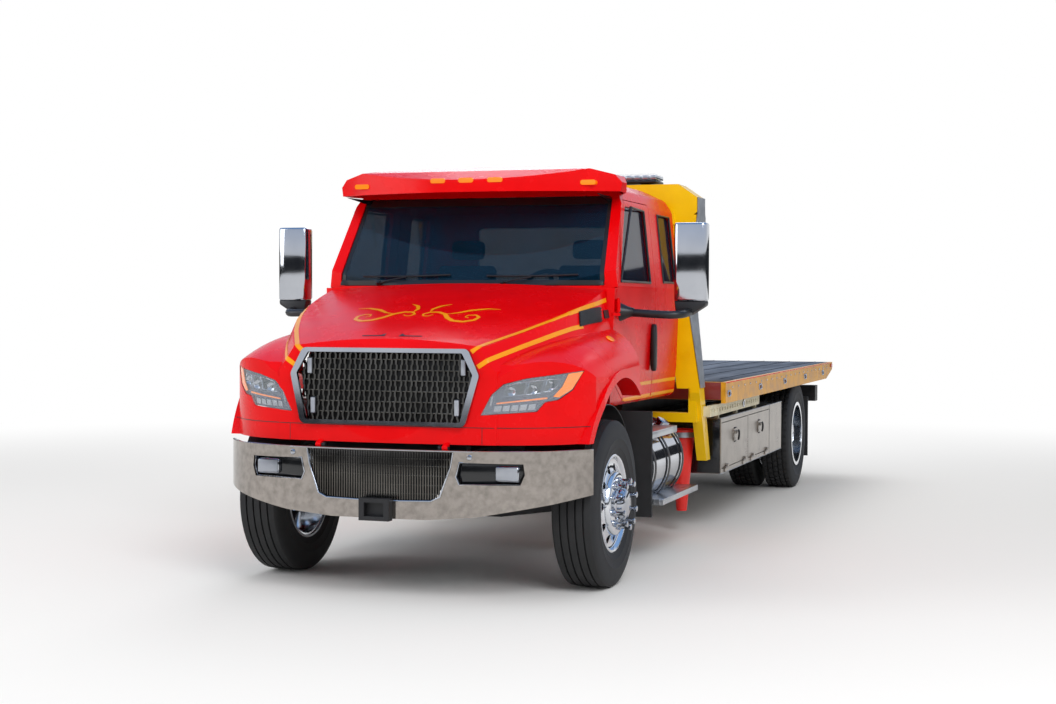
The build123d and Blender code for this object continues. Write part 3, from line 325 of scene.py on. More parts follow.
@dataclass
class Stage:
    """The pale floor, soft lamps, white surround and the camera."""

    sky_shade: str = "#8db4e8"
    floor_size: float = 400.0
    clear_radius: float = 5.5
    white_radius: float = 13.0
    flag_radius: float = 40.0
    flag_height: float = 5.0
    lamp_size: float = 6.0
    focal_mm: float = 57.73
    eye: Point = (3.971, -10.038 + FRONT_AXLE, 1.714)
    turn_deg: float = 18.616
    down_deg: float = 1.468
    roll_deg: float = 0.22

    def camera(self) -> None:
        """Places the camera at the eye, turned, tipped down and rolled."""
        turn, down, roll = (math.radians(a) for a in (self.turn_deg, self.down_deg, self.roll_deg))
        ahead = Vector((-math.sin(turn) * math.cos(down), math.cos(turn) * math.cos(down), -math.sin(down)))
        right = ahead.cross(Vector((0, 0, 1))).normalized()
        above = right.cross(ahead)
        side = right * math.cos(roll) + above * math.sin(roll)
        up = above * math.cos(roll) - right * math.sin(roll)
        data = bpy.data.cameras.new("camera")
        data.lens = self.focal_mm
        data.sensor_width = 36.0
        data.clip_end = 500.0
        camera = placed("camera", data)
        turned = Matrix((side, up, -ahead)).transposed().to_4x4()
        camera.matrix_world = Matrix.Translation(self.eye) @ turned
        bpy.context.scene.camera = camera

    def floor(self) -> None:
        """Lays the pale floor, a little below the tyres; away from the truck it turns as white as the surround."""
        deselect()
        bpy.ops.mesh.primitive_plane_add(size=self.floor_size, location=(0, 0, -0.001))
        floor = bpy.context.object
        floor.name = "floor"
        material = bpy.data.materials.new("pale_floor")
        tree = bare_tree(material)
        place = add_node(tree, "ShaderNodeTexCoord").outputs["Object"]
        away = add_node(tree, "ShaderNodeVectorMath", {0: place}, operation="LENGTH").outputs["Value"]
        share = add_node(
            tree, "ShaderNodeMapRange", {"Value": away, "From Min": self.clear_radius, "From Max": self.white_radius},
            interpolation_type="SMOOTHSTEP"
        ).outputs["Result"]
        diffuse = add_node(tree, "ShaderNodeBsdfDiffuse", {"Color": linear("#f2f2f2")}).outputs["BSDF"]
        white = add_node(tree, "ShaderNodeEmission", {"Color": (1, 1, 1, 1), "Strength": 1.0}).outputs["Emission"]
        path = add_node(tree, "ShaderNodeLightPath")
        direct = worked_out(tree, "MAXIMUM", path.outputs["Is Camera Ray"], path.outputs["Is Glossy Ray"])
        seen = worked_out(tree, "MULTIPLY", direct, share)
        mixed = add_node(tree, "ShaderNodeMixShader", {0: seen, 1: diffuse, 2: white}).outputs[0]
        add_node(tree, "ShaderNodeOutputMaterial", {"Surface": mixed})
        floor.data.materials.append(material)

    def flags(self) -> None:
        """Stands a ring of dark cloth far round the truck, which only polished metal and glass show."""
        deselect()
        bpy.ops.mesh.primitive_cylinder_add(
            vertices=96, radius=self.flag_radius, depth=self.flag_height, end_fill_type="NOTHING",
            location=(0, 0, self.flag_height / 2 + 0.3)
        )
        ring = bpy.context.object
        ring.name = "dark_flags"
        ring.data.materials.append(Finish("flag_cloth", "#2a2c30", "#202226", roughness=0.9, blotch_mm=2000).build())
        for way in ("camera", "diffuse", "shadow", "transmission", "volume_scatter"):
            setattr(ring, f"visible_{way}", False)

    def world(self) -> None:
        """Lights from all round softly, white to the camera and glass, with a blue sky in the metal."""
        world = bpy.data.worlds.new("surround")
        bpy.context.scene.world = world
        tree = bare_tree(world)
        path = add_node(tree, "ShaderNodeLightPath")
        glossy = path.outputs["Is Glossy Ray"]
        seen = worked_out(tree, "MAXIMUM", path.outputs["Is Camera Ray"], path.outputs["Is Transmission Ray"])
        shiny = worked_out(tree, "MAXIMUM", seen, glossy)
        strength = add_node(tree, "ShaderNodeMapRange", {"Value": shiny, "To Min": 0.55, "To Max": 1.0})
        place = add_node(tree, "ShaderNodeTexCoord").outputs["Generated"]
        height = add_node(tree, "ShaderNodeSeparateXYZ", {0: place}).outputs[2]
        sky = add_node(tree, "ShaderNodeMapRange", {"Value": height, "From Min": 0.05, "From Max": 0.6})
        share = worked_out(tree, "MULTIPLY", sky.outputs["Result"], glossy)
        tint = add_node(tree, "ShaderNodeMix", {0: share}, data_type="RGBA")
        tint.inputs[6].default_value = (1, 1, 1, 1)
        tint.inputs[7].default_value = linear(self.sky_shade)
        back = add_node(
            tree, "ShaderNodeBackground", {"Color": tint.outputs[2], "Strength": strength.outputs["Result"]}
        )
        add_node(tree, "ShaderNodeOutputWorld", {"Surface": back.outputs[0]})

    def lamp(self, name: str, place: Point, aim: Point, watts: float) -> None:
        """Hangs one soft square lamp.

        Args:
            name: The lamp's name.
            place: Where it hangs.
            aim: The point that it faces.
            watts: Its power.
        """
        data = bpy.data.lights.new(name, "AREA")
        data.size = self.lamp_size
        data.energy = watts
        lamp = placed(name, data)
        lamp.location = place
        lamp.rotation_euler = (Vector(aim) - Vector(place)).to_track_quat("-Z", "Y").to_euler()

    def build(self) -> None:
        """Sets up the floor, surround, lamps, camera and view transform."""
        self.floor()
        self.flags()
        self.world()
        self.lamp("key_lamp", (7, -12, 9), (0, -3, 1), 900)
        self.lamp("fill_lamp", (-9, -9, 5), (0, -3, 1), 350)
        self.lamp("back_lamp", (-3, 9, 9), (0, 2, 1), 500)
        self.camera()
        bpy.context.scene.view_settings.view_transform = "Standard"


# ---------------------------------------------------------------- the moves every piece is made with

FLIP = Matrix.Scale(-1.0, 4, (1.0, 0.0, 0.0))
Piece = bpy.types.Object


def deselect() -> None:
    """Leaves nothing selected and Blender in object mode."""
    if bpy.context.object and bpy.context.object.mode != "OBJECT":
        bpy.ops.object.mode_set(mode="OBJECT")
    bpy.ops.object.select_all(action="DESELECT")


def spot(x: float, y: float, z: float) -> Vector:
    """Turns millimetres, with y counted back from the front axle, into the frame's metres."""
    return Vector((x / 1000.0, y / 1000.0 + FRONT_AXLE, z / 1000.0))


def added(name: str) -> Piece:
    """Names the primitive that was just added."""
    piece = bpy.context.object
    piece.name = name
    piece.data.name = name
    return piece


def picked(piece: Piece) -> None:
    """Makes a piece the only one selected, and the active one."""
    deselect()
    piece.select_set(True)
    bpy.context.view_layer.objects.active = piece


@contextmanager
def opened(piece: Piece) -> Iterator[None]:
    """Opens a piece's mesh for editing with all of it selected, and closes it afterwards."""
    picked(piece)
    bpy.ops.object.mode_set(mode="EDIT")
    bpy.ops.mesh.select_all(action="SELECT")
    yield
    bpy.ops.object.mode_set(mode="OBJECT")


def close_up(piece: Piece) -> None:
    """Merges doubled points and turns all faces outwards."""
    with opened(piece):
        bpy.ops.mesh.remove_doubles(threshold=1e-5)
        bpy.ops.mesh.normals_make_consistent(inside=False)


def worked(piece: Piece, kind: str, **settings: Any) -> Piece:
    """Puts one modifier on a piece and applies it.

    Args:
        piece: The piece.
        kind: The modifier's type.
        settings: The modifier's values.

    Returns:
        The same piece.
    """
    modifier = piece.modifiers.new(kind.lower(), kind)
    for key, value in settings.items():
        setattr(modifier, key, value)
    bpy.context.view_layer.objects.active = piece
    bpy.ops.object.modifier_apply(modifier=modifier.name)
    return piece


def plate(name: str, outline: Sequence[Point], push: Point, chamfer: float = 0.0) -> Piece:
    """Cuts a flat outline and draws it out to a thickness.

    Args:
        name: The piece's name.
        outline: Corners in millimetres, in order round the outline.
        push: How far the outline is drawn out, in millimetres.
        chamfer: Width of the rounding on sharp edges.

    Returns:
        The closed plate.
    """
    deselect()
    bpy.ops.mesh.primitive_circle_add(vertices=len(outline), fill_type="NGON")
    piece = added(name)
    for point, corner in zip(piece.data.vertices, outline):
        point.co = spot(*corner)
    with opened(piece):
        bpy.ops.mesh.extrude_region_move(TRANSFORM_OT_translate={"value": Vector(push) / 1000.0})
    close_up(piece)
    return eased(piece, chamfer) if chamfer else piece


def block(name: str, low: Point, high: Point, chamfer: float = 4.0) -> Piece:
    """Adds a block between two corners in millimetres and rounds its edges."""
    corners = [
        (x, y, low[2]) for x, y in ((low[0], low[1]), (high[0], low[1]), (high[0], high[1]), (low[0], high[1]))
    ]
    return plate(name, corners, (0, 0, high[2] - low[2]), chamfer)


def eased(piece: Piece, width: float) -> Piece:
    """Rounds the sharp edges of a piece, and shades it smooth across them."""
    worked(
        piece, "BEVEL", width=width / 1000.0, segments=3, limit_method="ANGLE", angle_limit=math.radians(35),
        harden_normals=False
    )
    return smooth(piece)


def smooth(piece: Piece, degrees: float = 40.0) -> Piece:
    """Shades a piece smooth up to an angle between faces."""
    picked(piece)
    bpy.ops.object.shade_smooth_by_angle(angle=math.radians(degrees))
    return piece


def laid(name: str, cells: tuple[int, int], shape: Callable[[float, float], Point]) -> Piece:
    """Adds a grid and lays each point where a shape puts it.

    Args:
        name: The piece's name.
        cells: Number of cells along and across.
        shape: Gives millimetres for a place along and across, both from 0 to 1.

    Returns:
        The open sheet.
    """
    deselect()
    bpy.ops.mesh.primitive_grid_add(x_subdivisions=cells[0], y_subdivisions=cells[1], size=1.0)
    piece = added(name)
    for point in piece.data.vertices:
        point.co = spot(*shape(point.co.x + 0.5, point.co.y + 0.5))
    return piece


def along(route: Sequence[Point], share: float) -> Vector:
    """Gives the point at a share of a route's whole length."""
    spots = [Vector(p) for p in route]
    lengths = [(b - a).length for a, b in zip(spots, spots[1:])]
    left = share * sum(lengths)
    for start, end, length in zip(spots, spots[1:], lengths):
        if left <= length or end is spots[-1]:
            return start.lerp(end, min(left / length, 1.0))
        left -= length
    return spots[-1]


def ribbon(name: str, low: Sequence[Point], high: Sequence[Point], cells: tuple[int, int]) -> Piece:
    """Lays a sheet between two edges that run the same way."""
    return laid(name, cells, lambda u, v: tuple(along(low, u).lerp(along(high, u), v)))


def skin_of(node: str, here: Vector, heart: Point) -> tuple[Vector, Vector]:
    """Finds a node's outer surface on the line from a point inside it through a place.

    Args:
        node: The node's name.
        here: The place, in millimetres.
        heart: The point inside, in millimetres.

    Returns:
        The surface point and its normal, in metres.
    """
    place = spot(*here)
    out = (place - spot(*heart)).normalized()
    hit, found, normal, _ = bpy.data.objects[node].ray_cast(place + out * CAST_FROM, -out)
    return (found, normal) if hit else (place, out)


def lay_on(piece: Piece, node: str, lift: float, heart: Point = HOOD_HEART) -> Piece:
    """Lays a sheet on a node's outer surface, lifted by some millimetres."""
    for point in piece.data.vertices:
        here = Vector((point.co.x, point.co.y - FRONT_AXLE, point.co.z)) * 1000.0
        found, normal = skin_of(node, here, heart)
        point.co = found + normal * (lift / 1000.0)
    return piece


def thicken(piece: Piece, depth: float, offset: float = 1.0) -> Piece:
    """Gives a sheet its thickness in millimetres, then turns its faces outwards."""
    worked(piece, "SOLIDIFY", thickness=depth / 1000.0, offset=offset)
    close_up(piece)
    return smooth(piece)


def turned(name: str, section: Sequence[Flat], centre: Point, axle: Point = (1, 0, 0), steps: int = 48) -> Piece:
    """Spins a closed section round an axle.

    Args:
        name: The piece's name.
        section: Pairs of distance out from the axle and distance along it, in order.
        centre: The point on the axle that distances along it count from.
        axle: The direction of the axle.
        steps: Facets in a whole turn.

    Returns:
        The closed solid of revolution.
    """
    deselect()
    bpy.ops.mesh.primitive_circle_add(vertices=len(section), fill_type="NOTHING")
    piece = added(name)
    line = Vector(axle).normalized()
    out = line.orthogonal().normalized()
    middle = spot(*centre)
    for point, (radius, reach) in zip(piece.data.vertices, section):
        point.co = middle + (out * radius + line * reach) / 1000.0
    with opened(piece):
        bpy.ops.mesh.spin(steps=steps, angle=math.tau, center=middle, axis=line)
    close_up(piece)
    return smooth(piece, 35)


def rod(name: str, route: Sequence[Point], radius: float, bent: bool = True) -> Piece:
    """Draws a round bar along a route of points in millimetres, with closed ends."""
    curve = bpy.data.curves.new(name, "CURVE")
    curve.dimensions = "3D"
    curve.bevel_depth = radius / 1000.0
    curve.bevel_resolution = 3
    curve.use_fill_caps = True
    spline = curve.splines.new("NURBS" if bent else "POLY")
    spline.points.add(len(route) - 1)
    for point, corner in zip(spline.points, route):
        point.co = (*spot(*corner), 1.0)
    spline.order_u = 3
    spline.use_endpoint_u = True
    picked(placed(name, curve))
    bpy.ops.object.convert(target="MESH")
    return smooth(added(name))


def joined(pieces: Sequence[Piece], name: str) -> Piece:
    """Joins pieces into one that keeps their finishes."""
    deselect()
    for piece in pieces:
        piece.select_set(True)
    bpy.context.view_layer.objects.active = pieces[0]
    if len(pieces) > 1:
        bpy.ops.object.join()
    return added(name)


def copy_of(piece: Piece) -> Piece:
    """Copies a piece together with its mesh."""
    twin = piece.copy()
    twin.data = piece.data.copy()
    bpy.context.scene.collection.objects.link(twin)
    return twin


def copied(piece: Piece, moves: Sequence[Matrix], name: str) -> Piece:
    """Copies a finished piece to each place, each copy with its own mesh, and joins them.

    Args:
        piece: The model of the piece; it is used up.
        moves: A move for each copy, in metres.
        name: The name of the joined piece.

    Returns:
        The joined piece.
    """
    twins = []
    for move in moves:
        twin = copy_of(piece)
        twin.data.transform(move)
        if move.determinant() < 0:
            twin.data.flip_normals()
        twins.append(twin)
    bpy.data.objects.remove(piece)
    return joined(twins, name)


def both(piece: Piece, name: str) -> Piece:
    """Adds a piece's mirror image on the other side of the truck."""
    return copied(piece, (Matrix(), FLIP), name)


def shifted(*offsets: Point) -> list[Matrix]:
    """Gives a move for each offset in millimetres."""
    return [Matrix.Translation(Vector(offset) / 1000.0) for offset in offsets]


def about(centre: Point, axle: Point, count: int, first: float = 0.0) -> list[Matrix]:
    """Gives evenly spaced turns round an axle through a centre in millimetres."""
    middle = Matrix.Translation(spot(*centre))
    step = 360.0 / count
    return [
        middle @ Matrix.Rotation(math.radians(first + step * turn), 4, Vector(axle)) @ middle.inverted()
        for turn in range(count)
    ]


def dressed(piece: Piece, finish: Finish) -> Piece:
    """Gives a piece one finish all over."""
    piece.data.materials.clear()
    piece.data.materials.append(finish.build())
    return piece


class Copies(Enum):
    """Where a fitting goes: as it is, on both sides as one piece, or on the body of each side."""

    ONE = "one"
    PAIR = "pair"
    EACH = "each"


def hang(piece: Piece, body: str, *nodes: str) -> None:
    """Hangs a piece on its body, for the nodes that it stands for, and reports it.

    Args:
        piece: The finished piece.
        body: The body that it moves with.
        nodes: Frame nodes that it replaces.
    """
    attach(piece, body)
    if nodes:
        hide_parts(*nodes)
    log.info("%s rides on %s, %d faces", piece.name, body, len(piece.data.polygons))


def fit(
    name: str, finish: Finish, body: str, *parts: Piece, nodes: tuple[str, ...] = (), copies: Copies = Copies.PAIR
) -> None:
    """Joins the parts of a fitting, dresses it and hangs it.

    Args:
        name: The fitting's name; a piece for each side ends in its side.
        finish: Its finish.
        body: The body that it moves with, without its side for a piece on each side.
        parts: The parts as they lie on the left side or across the middle; they are used up.
        nodes: Frame nodes that it replaces, without their side for a piece on each side.
        copies: Where it goes.
    """
    model = dressed(joined(parts, name if copies is Copies.ONE else "part"), finish)
    if copies is Copies.ONE:
        hang(model, body, *nodes)
    elif copies is Copies.PAIR:
        hang(both(model, name), body, *nodes)
    else:
        for piece, move, side in ((copy_of(model), Matrix(), "_left"), (model, FLIP, "_right")):
            hang(copied(piece, (move,), name + side), body + side, *[node + side for node in nodes])
# ---------------------------------------------------------------- hood


def front_of(node: str, x: float, z: float, depth: float) -> Point:
    """Finds a node's front surface straight ahead of a place, and goes some way behind it.

    Args:
        node: The node's name.
        x: Place across, in millimetres.
        z: Height, in millimetres.
        depth: How far behind the surface.

    Returns:
        The point in millimetres.
    """
    target = bpy.data.objects[node]
    hit, place, _, _ = target.ray_cast(spot(x, AHEAD, z), Vector((0, 1, 0)))
    if not hit:
        _, place, _, _ = target.closest_point_on_mesh(spot(x, NOSE, z))
    return x, (place.y - FRONT_AXLE) * 1000.0 + depth, z


def front_sheet(
    name: str, node: str, low: Sequence[Flat], high: Sequence[Flat], depth: float, cells: tuple[int, int]
) -> Piece:
    """Lays a sheet behind a node's front surface, between two edges as they are seen from ahead.

    Args:
        name: The piece's name.
        node: The node that it follows.
        low: The lower edge: places across and heights, in millimetres.
        high: The upper edge, which runs the same way.
        depth: How far behind the surface.
        cells: Number of cells along and across.

    Returns:
        The open sheet.
    """
    edges = [[(x, 0.0, z) for x, z in edge] for edge in (low, high)]

    def shape(u: float, v: float) -> Point:
        """Drops the sheet's point behind the surface."""
        place = along(edges[0], u).lerp(along(edges[1], u), v)
        return front_of(node, place.x, place.z, depth)

    return laid(name, cells, shape)


def painted_band(
    name: str, node: str, route: Sequence[Point], width: tuple[float, float], lift: float = 1.5, cells: int = 60,
    heart: Point = HOOD_HEART
) -> Piece:
    """Lays a band along a route on a node's surface.

    Args:
        name: The piece's name.
        node: The node that it lies on.
        route: Points near the surface, in millimetres.
        width: The band's width at its ends and at its middle.
        lift: How far it stands off the surface.
        cells: Number of cells along it.
        heart: A point inside the node, in millimetres.

    Returns:
        The thin closed band.
    """

    def shape(u: float, v: float) -> Point:
        """Steps sideways from the route, along the surface."""
        here = along(route, u)
        ahead = along(route, min(u + 0.03, 1.0)) - along(route, max(u - 0.03, 0.0))
        normal = skin_of(node, here, heart)[1]
        broad = width[0] + (width[1] - width[0]) * math.sin(math.pi * u)
        return tuple(here + normal.cross(ahead).normalized() * (v - 0.5) * broad)

    return thicken(lay_on(laid(name, (cells, 3), shape), node, lift, heart), 1.0)


@dataclass
class HoodTrim:
    """Gold bands, scrollwork, vents, side markers and seams of the hood."""

    node: str = "hood"
    band_width: float = 27.0
    upper_band: tuple[Point, ...] = (
        (541, -878, 1462), (590, -800, 1495), (640, -716, 1522), (733, -540, 1572), (838, -293, 1638),
        (912, -4, 1695), (948, 250, 1735), (966, 430, 1768)
    )
    lower_band: tuple[Point, ...] = (
        (584, -888, 1376), (640, -822, 1413), (721, -700, 1462), (825, -460, 1526), (921, -144, 1590),
        (950, -20, 1604)
    )
    scroll: tuple[Flat, ...] = (
        (95, -345), (70, -375), (40, -372), (28, -335), (55, -295), (110, -290), (165, -330), (205, -400),
        (260, -455), (330, -465), (385, -425), (395, -365), (360, -325), (315, -335), (308, -372), (335, -388)
    )
    leaf: tuple[Flat, ...] = ((165, -330), (230, -300), (300, -235), (390, -190), (470, -190))
    bud: tuple[Flat, ...] = ((55, -295), (48, -230), (75, -165), (130, -120))
    vent_low: tuple[Point, ...] = ((932, -60, 1596), (985, 262, 1630))
    vent_high: tuple[Point, ...] = ((905, -20, 1680), (966, 288, 1722))
    # Routes of the painted shadows at the hand recesses: strips laid on the hood, not hollows cut into it.
    hand_hollow_shadow: tuple[tuple[Point, ...], tuple[Point, ...]] = (
        ((45, -772, 1540), (190, -772, 1540)), ((52, -722, 1555), (78, -757, 1545), (190, -758, 1545))
    )
    seam_level: float = 1025.0

    def bands(self) -> None:
        """Lays the two gold bands of each side."""
        width = (self.band_width, self.band_width)
        for name, route in (("hood_band_upper", self.upper_band), ("hood_band_lower", self.lower_band)):
            band = painted_band(name, self.node, route, width, cells=110)
            fit(name, Finishes.gold, "hood", band)

    def scrolls(self) -> None:
        """Lays a symmetrical gold scroll on the middle of the hood."""
        strokes = []
        for number, (route, width) in enumerate(
            ((self.scroll, (5.0, 30.0)), (self.leaf, (3.0, 26.0)), (self.bud, (3.0, 24.0)))
        ):
            spots = [(x, y, 1745 + 0.27 * y) for x, y in route]
            strokes.append(painted_band(f"scroll_{number}", self.node, spots, width, 1.5 + 0.6 * number, 90))
        fit("hood_scroll", Finishes.gold, "hood", *strokes)

    def vents(self) -> None:
        """Builds the louvred vent and the small cowl vent behind it on each side."""
        base = thicken(lay_on(ribbon("vent", self.vent_low, self.vent_high, (40, 8)), self.node, 2.0), 4.0)
        parts = [base]
        for share in (0.12, 0.31, 0.5, 0.69, 0.88):
            low = [tuple(Vector(a).lerp(Vector(b), share - 0.05)) for a, b in zip(self.vent_low, self.vent_high)]
            high = [tuple(Vector(a).lerp(Vector(b), share + 0.05)) for a, b in zip(self.vent_low, self.vent_high)]
            parts.append(thicken(lay_on(ribbon("slat", low, high, (40, 1)), self.node, 9.0), 4.0))
        cowl = ribbon("cowl", ((983, 335, 1650), (990, 432, 1655)), ((973, 335, 1700), (980, 432, 1708)), (10, 4))
        cowl = thicken(lay_on(cowl, self.node, 3.0), 4.0)
        fit("side_vents", Finishes.plastic, "hood", *parts, cowl)

    def markers(self) -> None:
        """Sets an oval amber marker on each fender's shoulder."""

        def oval(u: float, v: float) -> Point:
            """Rounds the grid into an oval."""
            a, b = 2 * u - 1, 2 * v - 1
            reach, rise = a * math.sqrt(1 - b * b / 2), b * math.sqrt(1 - a * a / 2)
            return 1098 - 14 * rise, 130 + 44 * reach, 1532 + 20 * rise

        lens = thicken(lay_on(laid("side_marker", (14, 8), oval), self.node, 3.0), 7.0)
        worked(lens, "SUBSURF", levels=1, render_levels=1)
        fit("side_markers", Finishes.amber, "hood", lens)

    def hand_hollow_shadows(self) -> None:
        """Paints the shadows of the two hand recesses at the front of the hood, as thin dark strips laid on it."""
        # Painted shadow: a dark strip lifted just off the hood where the recess edge throws its shade.
        mark = thicken(lay_on(ribbon("hand_hollow_shadow", *self.hand_hollow_shadow, (16, 2)), self.node, 0.8), 1.0)
        fit("hood_hand_hollow_shadows", Finishes.plastic, "hood", mark)

    def seam(self) -> None:
        """Draws the dark joint line round the nose, and the two short joints below it."""
        half = 1160.0
        level = self.seam_level

        def shape(u: float, v: float) -> Point:
            """Follows the nose from side to side."""
            return front_of(self.node, half * (2 * u - 1), level + 4 * (v - 0.5), -0.6)

        def joint(u: float, v: float) -> Point:
            """Follows the nose down from the joint line."""
            return front_of(self.node, side * (612 + 3 * (u - 0.5)), 930 + (level - 932) * v, -0.6)

        lines = [thicken(laid("seam", (150, 1), shape), 0.8)]
        for side in (-1, 1):
            lines.append(thicken(laid("joint", (2, 14), joint), 0.8))
        fit("hood_seams", Finishes.plastic, "hood", *lines, copies=Copies.ONE)

    def build(self) -> None:
        """Builds all of the hood's trim."""
        self.bands()
        self.scrolls()
        self.vents()
        self.markers()
        self.hand_hollow_shadows()
        self.seam()


@dataclass
class RadiatorGrille:
    """Staggered upright bars with a dark radiator behind, and four slim pod lamps."""

    pitch: float = 33.0
    bar_width: float = 12.0
    swing: float = 6.0
    row: float = 62.0
    depth: float = 14.0
    pods: tuple[Flat, ...] = ((490, 1370), (458, 1136))

    def limits(self, x: float) -> tuple[float, float]:
        """Gives the opening's lowest and highest level at a place across."""
        reach = max(abs(x) - 492.0, 0.0)
        return 1040.0 + reach * 3.9, 1464.0 - reach * 1.75

    def front(self, z: float) -> float:
        """Gives the place of the bars' front face at a level."""
        return -900.0 + (z - 1022.0) * 0.096

    def offset(self, z: float, column: int) -> float:
        """Gives how far a bar swings sideways at a level: straight runs joined by short slants."""
        phase = (z - 1040.0) / self.row + 0.5 * (column % 2)
        wave = math.sin(math.tau * phase)
        return self.swing * max(-1.0, min(1.0, 3.2 * wave)) * 0.5

    def bar(self, column: int) -> Piece | None:
        """Builds one wavy upright bar that touches its neighbours in turn."""
        x = column * self.pitch
        low, high = self.limits(x)
        if high - low < 60:
            return None
        count = max(3, int((high - low) / (self.row / 8)))
        levels = [low + (high - low) * step / count for step in range(count + 1)]
        left = [(x + self.offset(z, column) - self.bar_width / 2, self.front(z), z) for z in levels]
        right = [(x + self.offset(z, column) + self.bar_width / 2, self.front(z), z) for z in levels]
        return plate(f"bar_{column}", left + right[::-1], (0, self.depth, 0))

    def build(self) -> None:
        """Builds the bars, the radiator behind them and the pod lamps."""
        bars = [self.bar(column) for column in range(-16, 17)]
        mesh = joined([bar for bar in bars if bar], "grille_bars")
        rails = []
        for level in (1102, 1164, 1226, 1288, 1350, 1412):
            half = 500 if level < 1150 or level > 1400 else 540
            rails.append(
                block(
                    f"rail_{level}", (-half, self.front(level) + 8, level - 4),
                    (half, self.front(level) + 18, level + 4), 1.5
                )
            )
        fit("grille_bars", Finishes.dark_chrome, "hood", mesh, *rails, nodes=("grille",), copies=Copies.ONE)
        back = plate(
            "radiator", [(-560, -846, 1330), (-490, -872, 1045), (490, -872, 1045), (560, -846, 1330),
                         (490, -838, 1462), (-490, -838, 1462)], (0, 12, 0), 2.0,
        )
        fit("radiator", Finishes.radiator, "hood", back, copies=Copies.ONE)
        shells, lenses = [], []
        for x, z in self.pods:
            y = self.front(z)
            shells.append(block("pod", (x - 19, y - 12, z - 52), (x + 19, y + 12, z + 52), 9))
            lenses.append(block("pod_lens", (x - 14, y - 17, z - 46), (x + 14, y - 6, z + 46), 7))
        fit("grille_pods", Finishes.plastic, "hood", *shells)
        fit("grille_pod_lenses", Finishes.frosted, "hood", *lenses)


@dataclass
class Headlamps:
    """Wraparound headlamps: bright bezel, three dark cells, a strip of five lamps and an amber wedge."""

    node: str = "headlamps"
    low_edge: tuple[Flat, ...] = ((603, 1098), (906, 1120), (947, 1174), (1010, 1187), (1075, 1242), (1124, 1352))
    high_edge: tuple[Flat, ...] = ((603, 1100), (664, 1214), (729, 1276), (850, 1310), (1010, 1333), (1124, 1353))
    cells: tuple[tuple[Flat, ...], ...] = (
        ((722, 1207), (838, 1218), (852, 1290), (800, 1284), (745, 1268)),
        ((850, 1219), (922, 1226), (942, 1302), (864, 1293)),
        ((938, 1232), (972, 1238), (1000, 1262), (1014, 1306), (955, 1303))
    )
    bulbs: tuple[Flat, ...] = ((770, 1236), (884, 1246), (968, 1268))
    line: tuple[tuple[Flat, ...], ...] = (((690, 1162), (955, 1192)), ((690, 1170), (955, 1202)))
    strip: Flat = (672, 1118)

    def tile(self, name: str, outline: Sequence[Flat], depth: float, thick: float, chamfer: float = 0.0) -> Piece:
        """Cuts a small plate that follows the lamp's front."""
        return plate(name, [front_of(self.node, x, z, depth) for x, z in outline], (0, thick, 0), chamfer)

    def frame(self, outline: Sequence[Flat], depth: float, radius: float) -> Piece:
        """Bends a thin bright bar round a cell."""
        route = [front_of(self.node, x, z, depth) for x, z in (*outline, outline[0], outline[1])]
        return rod("cell_frame", route, radius, bent=False)

    def build(self) -> None:
        """Builds one lamp of each kind of part and mirrors it."""
        bezel = thicken(front_sheet("bezel", self.node, self.low_edge, self.high_edge, 20.0, (40, 12)), 2.0)
        fit("headlamp_bezels", Finishes.bezel, "hood", bezel)
        dark = [self.tile(f"cell_{i}", cell, 15.0, 4.0) for i, cell in enumerate(self.cells)]
        fit("headlamp_cells", Finishes.lamp_black, "hood", *dark)
        bright = [self.frame(cell, 12.0, 3.2) for cell in self.cells]
        for x, z in self.bulbs:
            y = front_of(self.node, x, z, 16.0)[1]
            bowl = ((0, 0), (8, 1), (19, -5), (26, -8), (24, -3), (12, 5), (0, 6))
            bright.append(turned("bowl", bowl, (x, y, z), (0, 1, 0), 24))
        fit("headlamp_reflectors", Finishes.chrome, "hood", *bright)
        glow = []
        for step in range(5):
            start, base = self.strip[0] + step * 46, self.strip[1] + step * 2.5
            corners = ((start, base), (start + 38, base + 2), (start + 44, base + 36), (start + 8, base + 32))
            glow.append(self.tile(f"lamp_{step}", corners, 10.0, 6.0, 2.5))
        glow.append(self.tile("inner_light", ((650, 1150), (660, 1150), (672, 1208), (662, 1208)), 10.0, 5.0, 2.0))
        fit("headlamp_strips", Finishes.frosted, "hood", *glow)
        orange = [thicken(front_sheet("line", self.node, *self.line, 12.0, (24, 1)), 2.0)]
        wedge_low = ((1012, 1200), (1072, 1246), (1120, 1348))
        wedge_high = ((985, 1205), (1028, 1262), (1056, 1336))
        orange.append(thicken(front_sheet("wedge", self.node, wedge_low, wedge_high, 6.0, (14, 6)), 3.0))
        fit("headlamp_ambers", Finishes.amber, "hood", *orange)
        cover = thicken(front_sheet("cover", self.node, self.low_edge, self.high_edge, 0.0, (48, 14)), 2.0, -1.0)
        fit("headlamp_covers", Finishes.lens, "hood", cover, nodes=(self.node,))


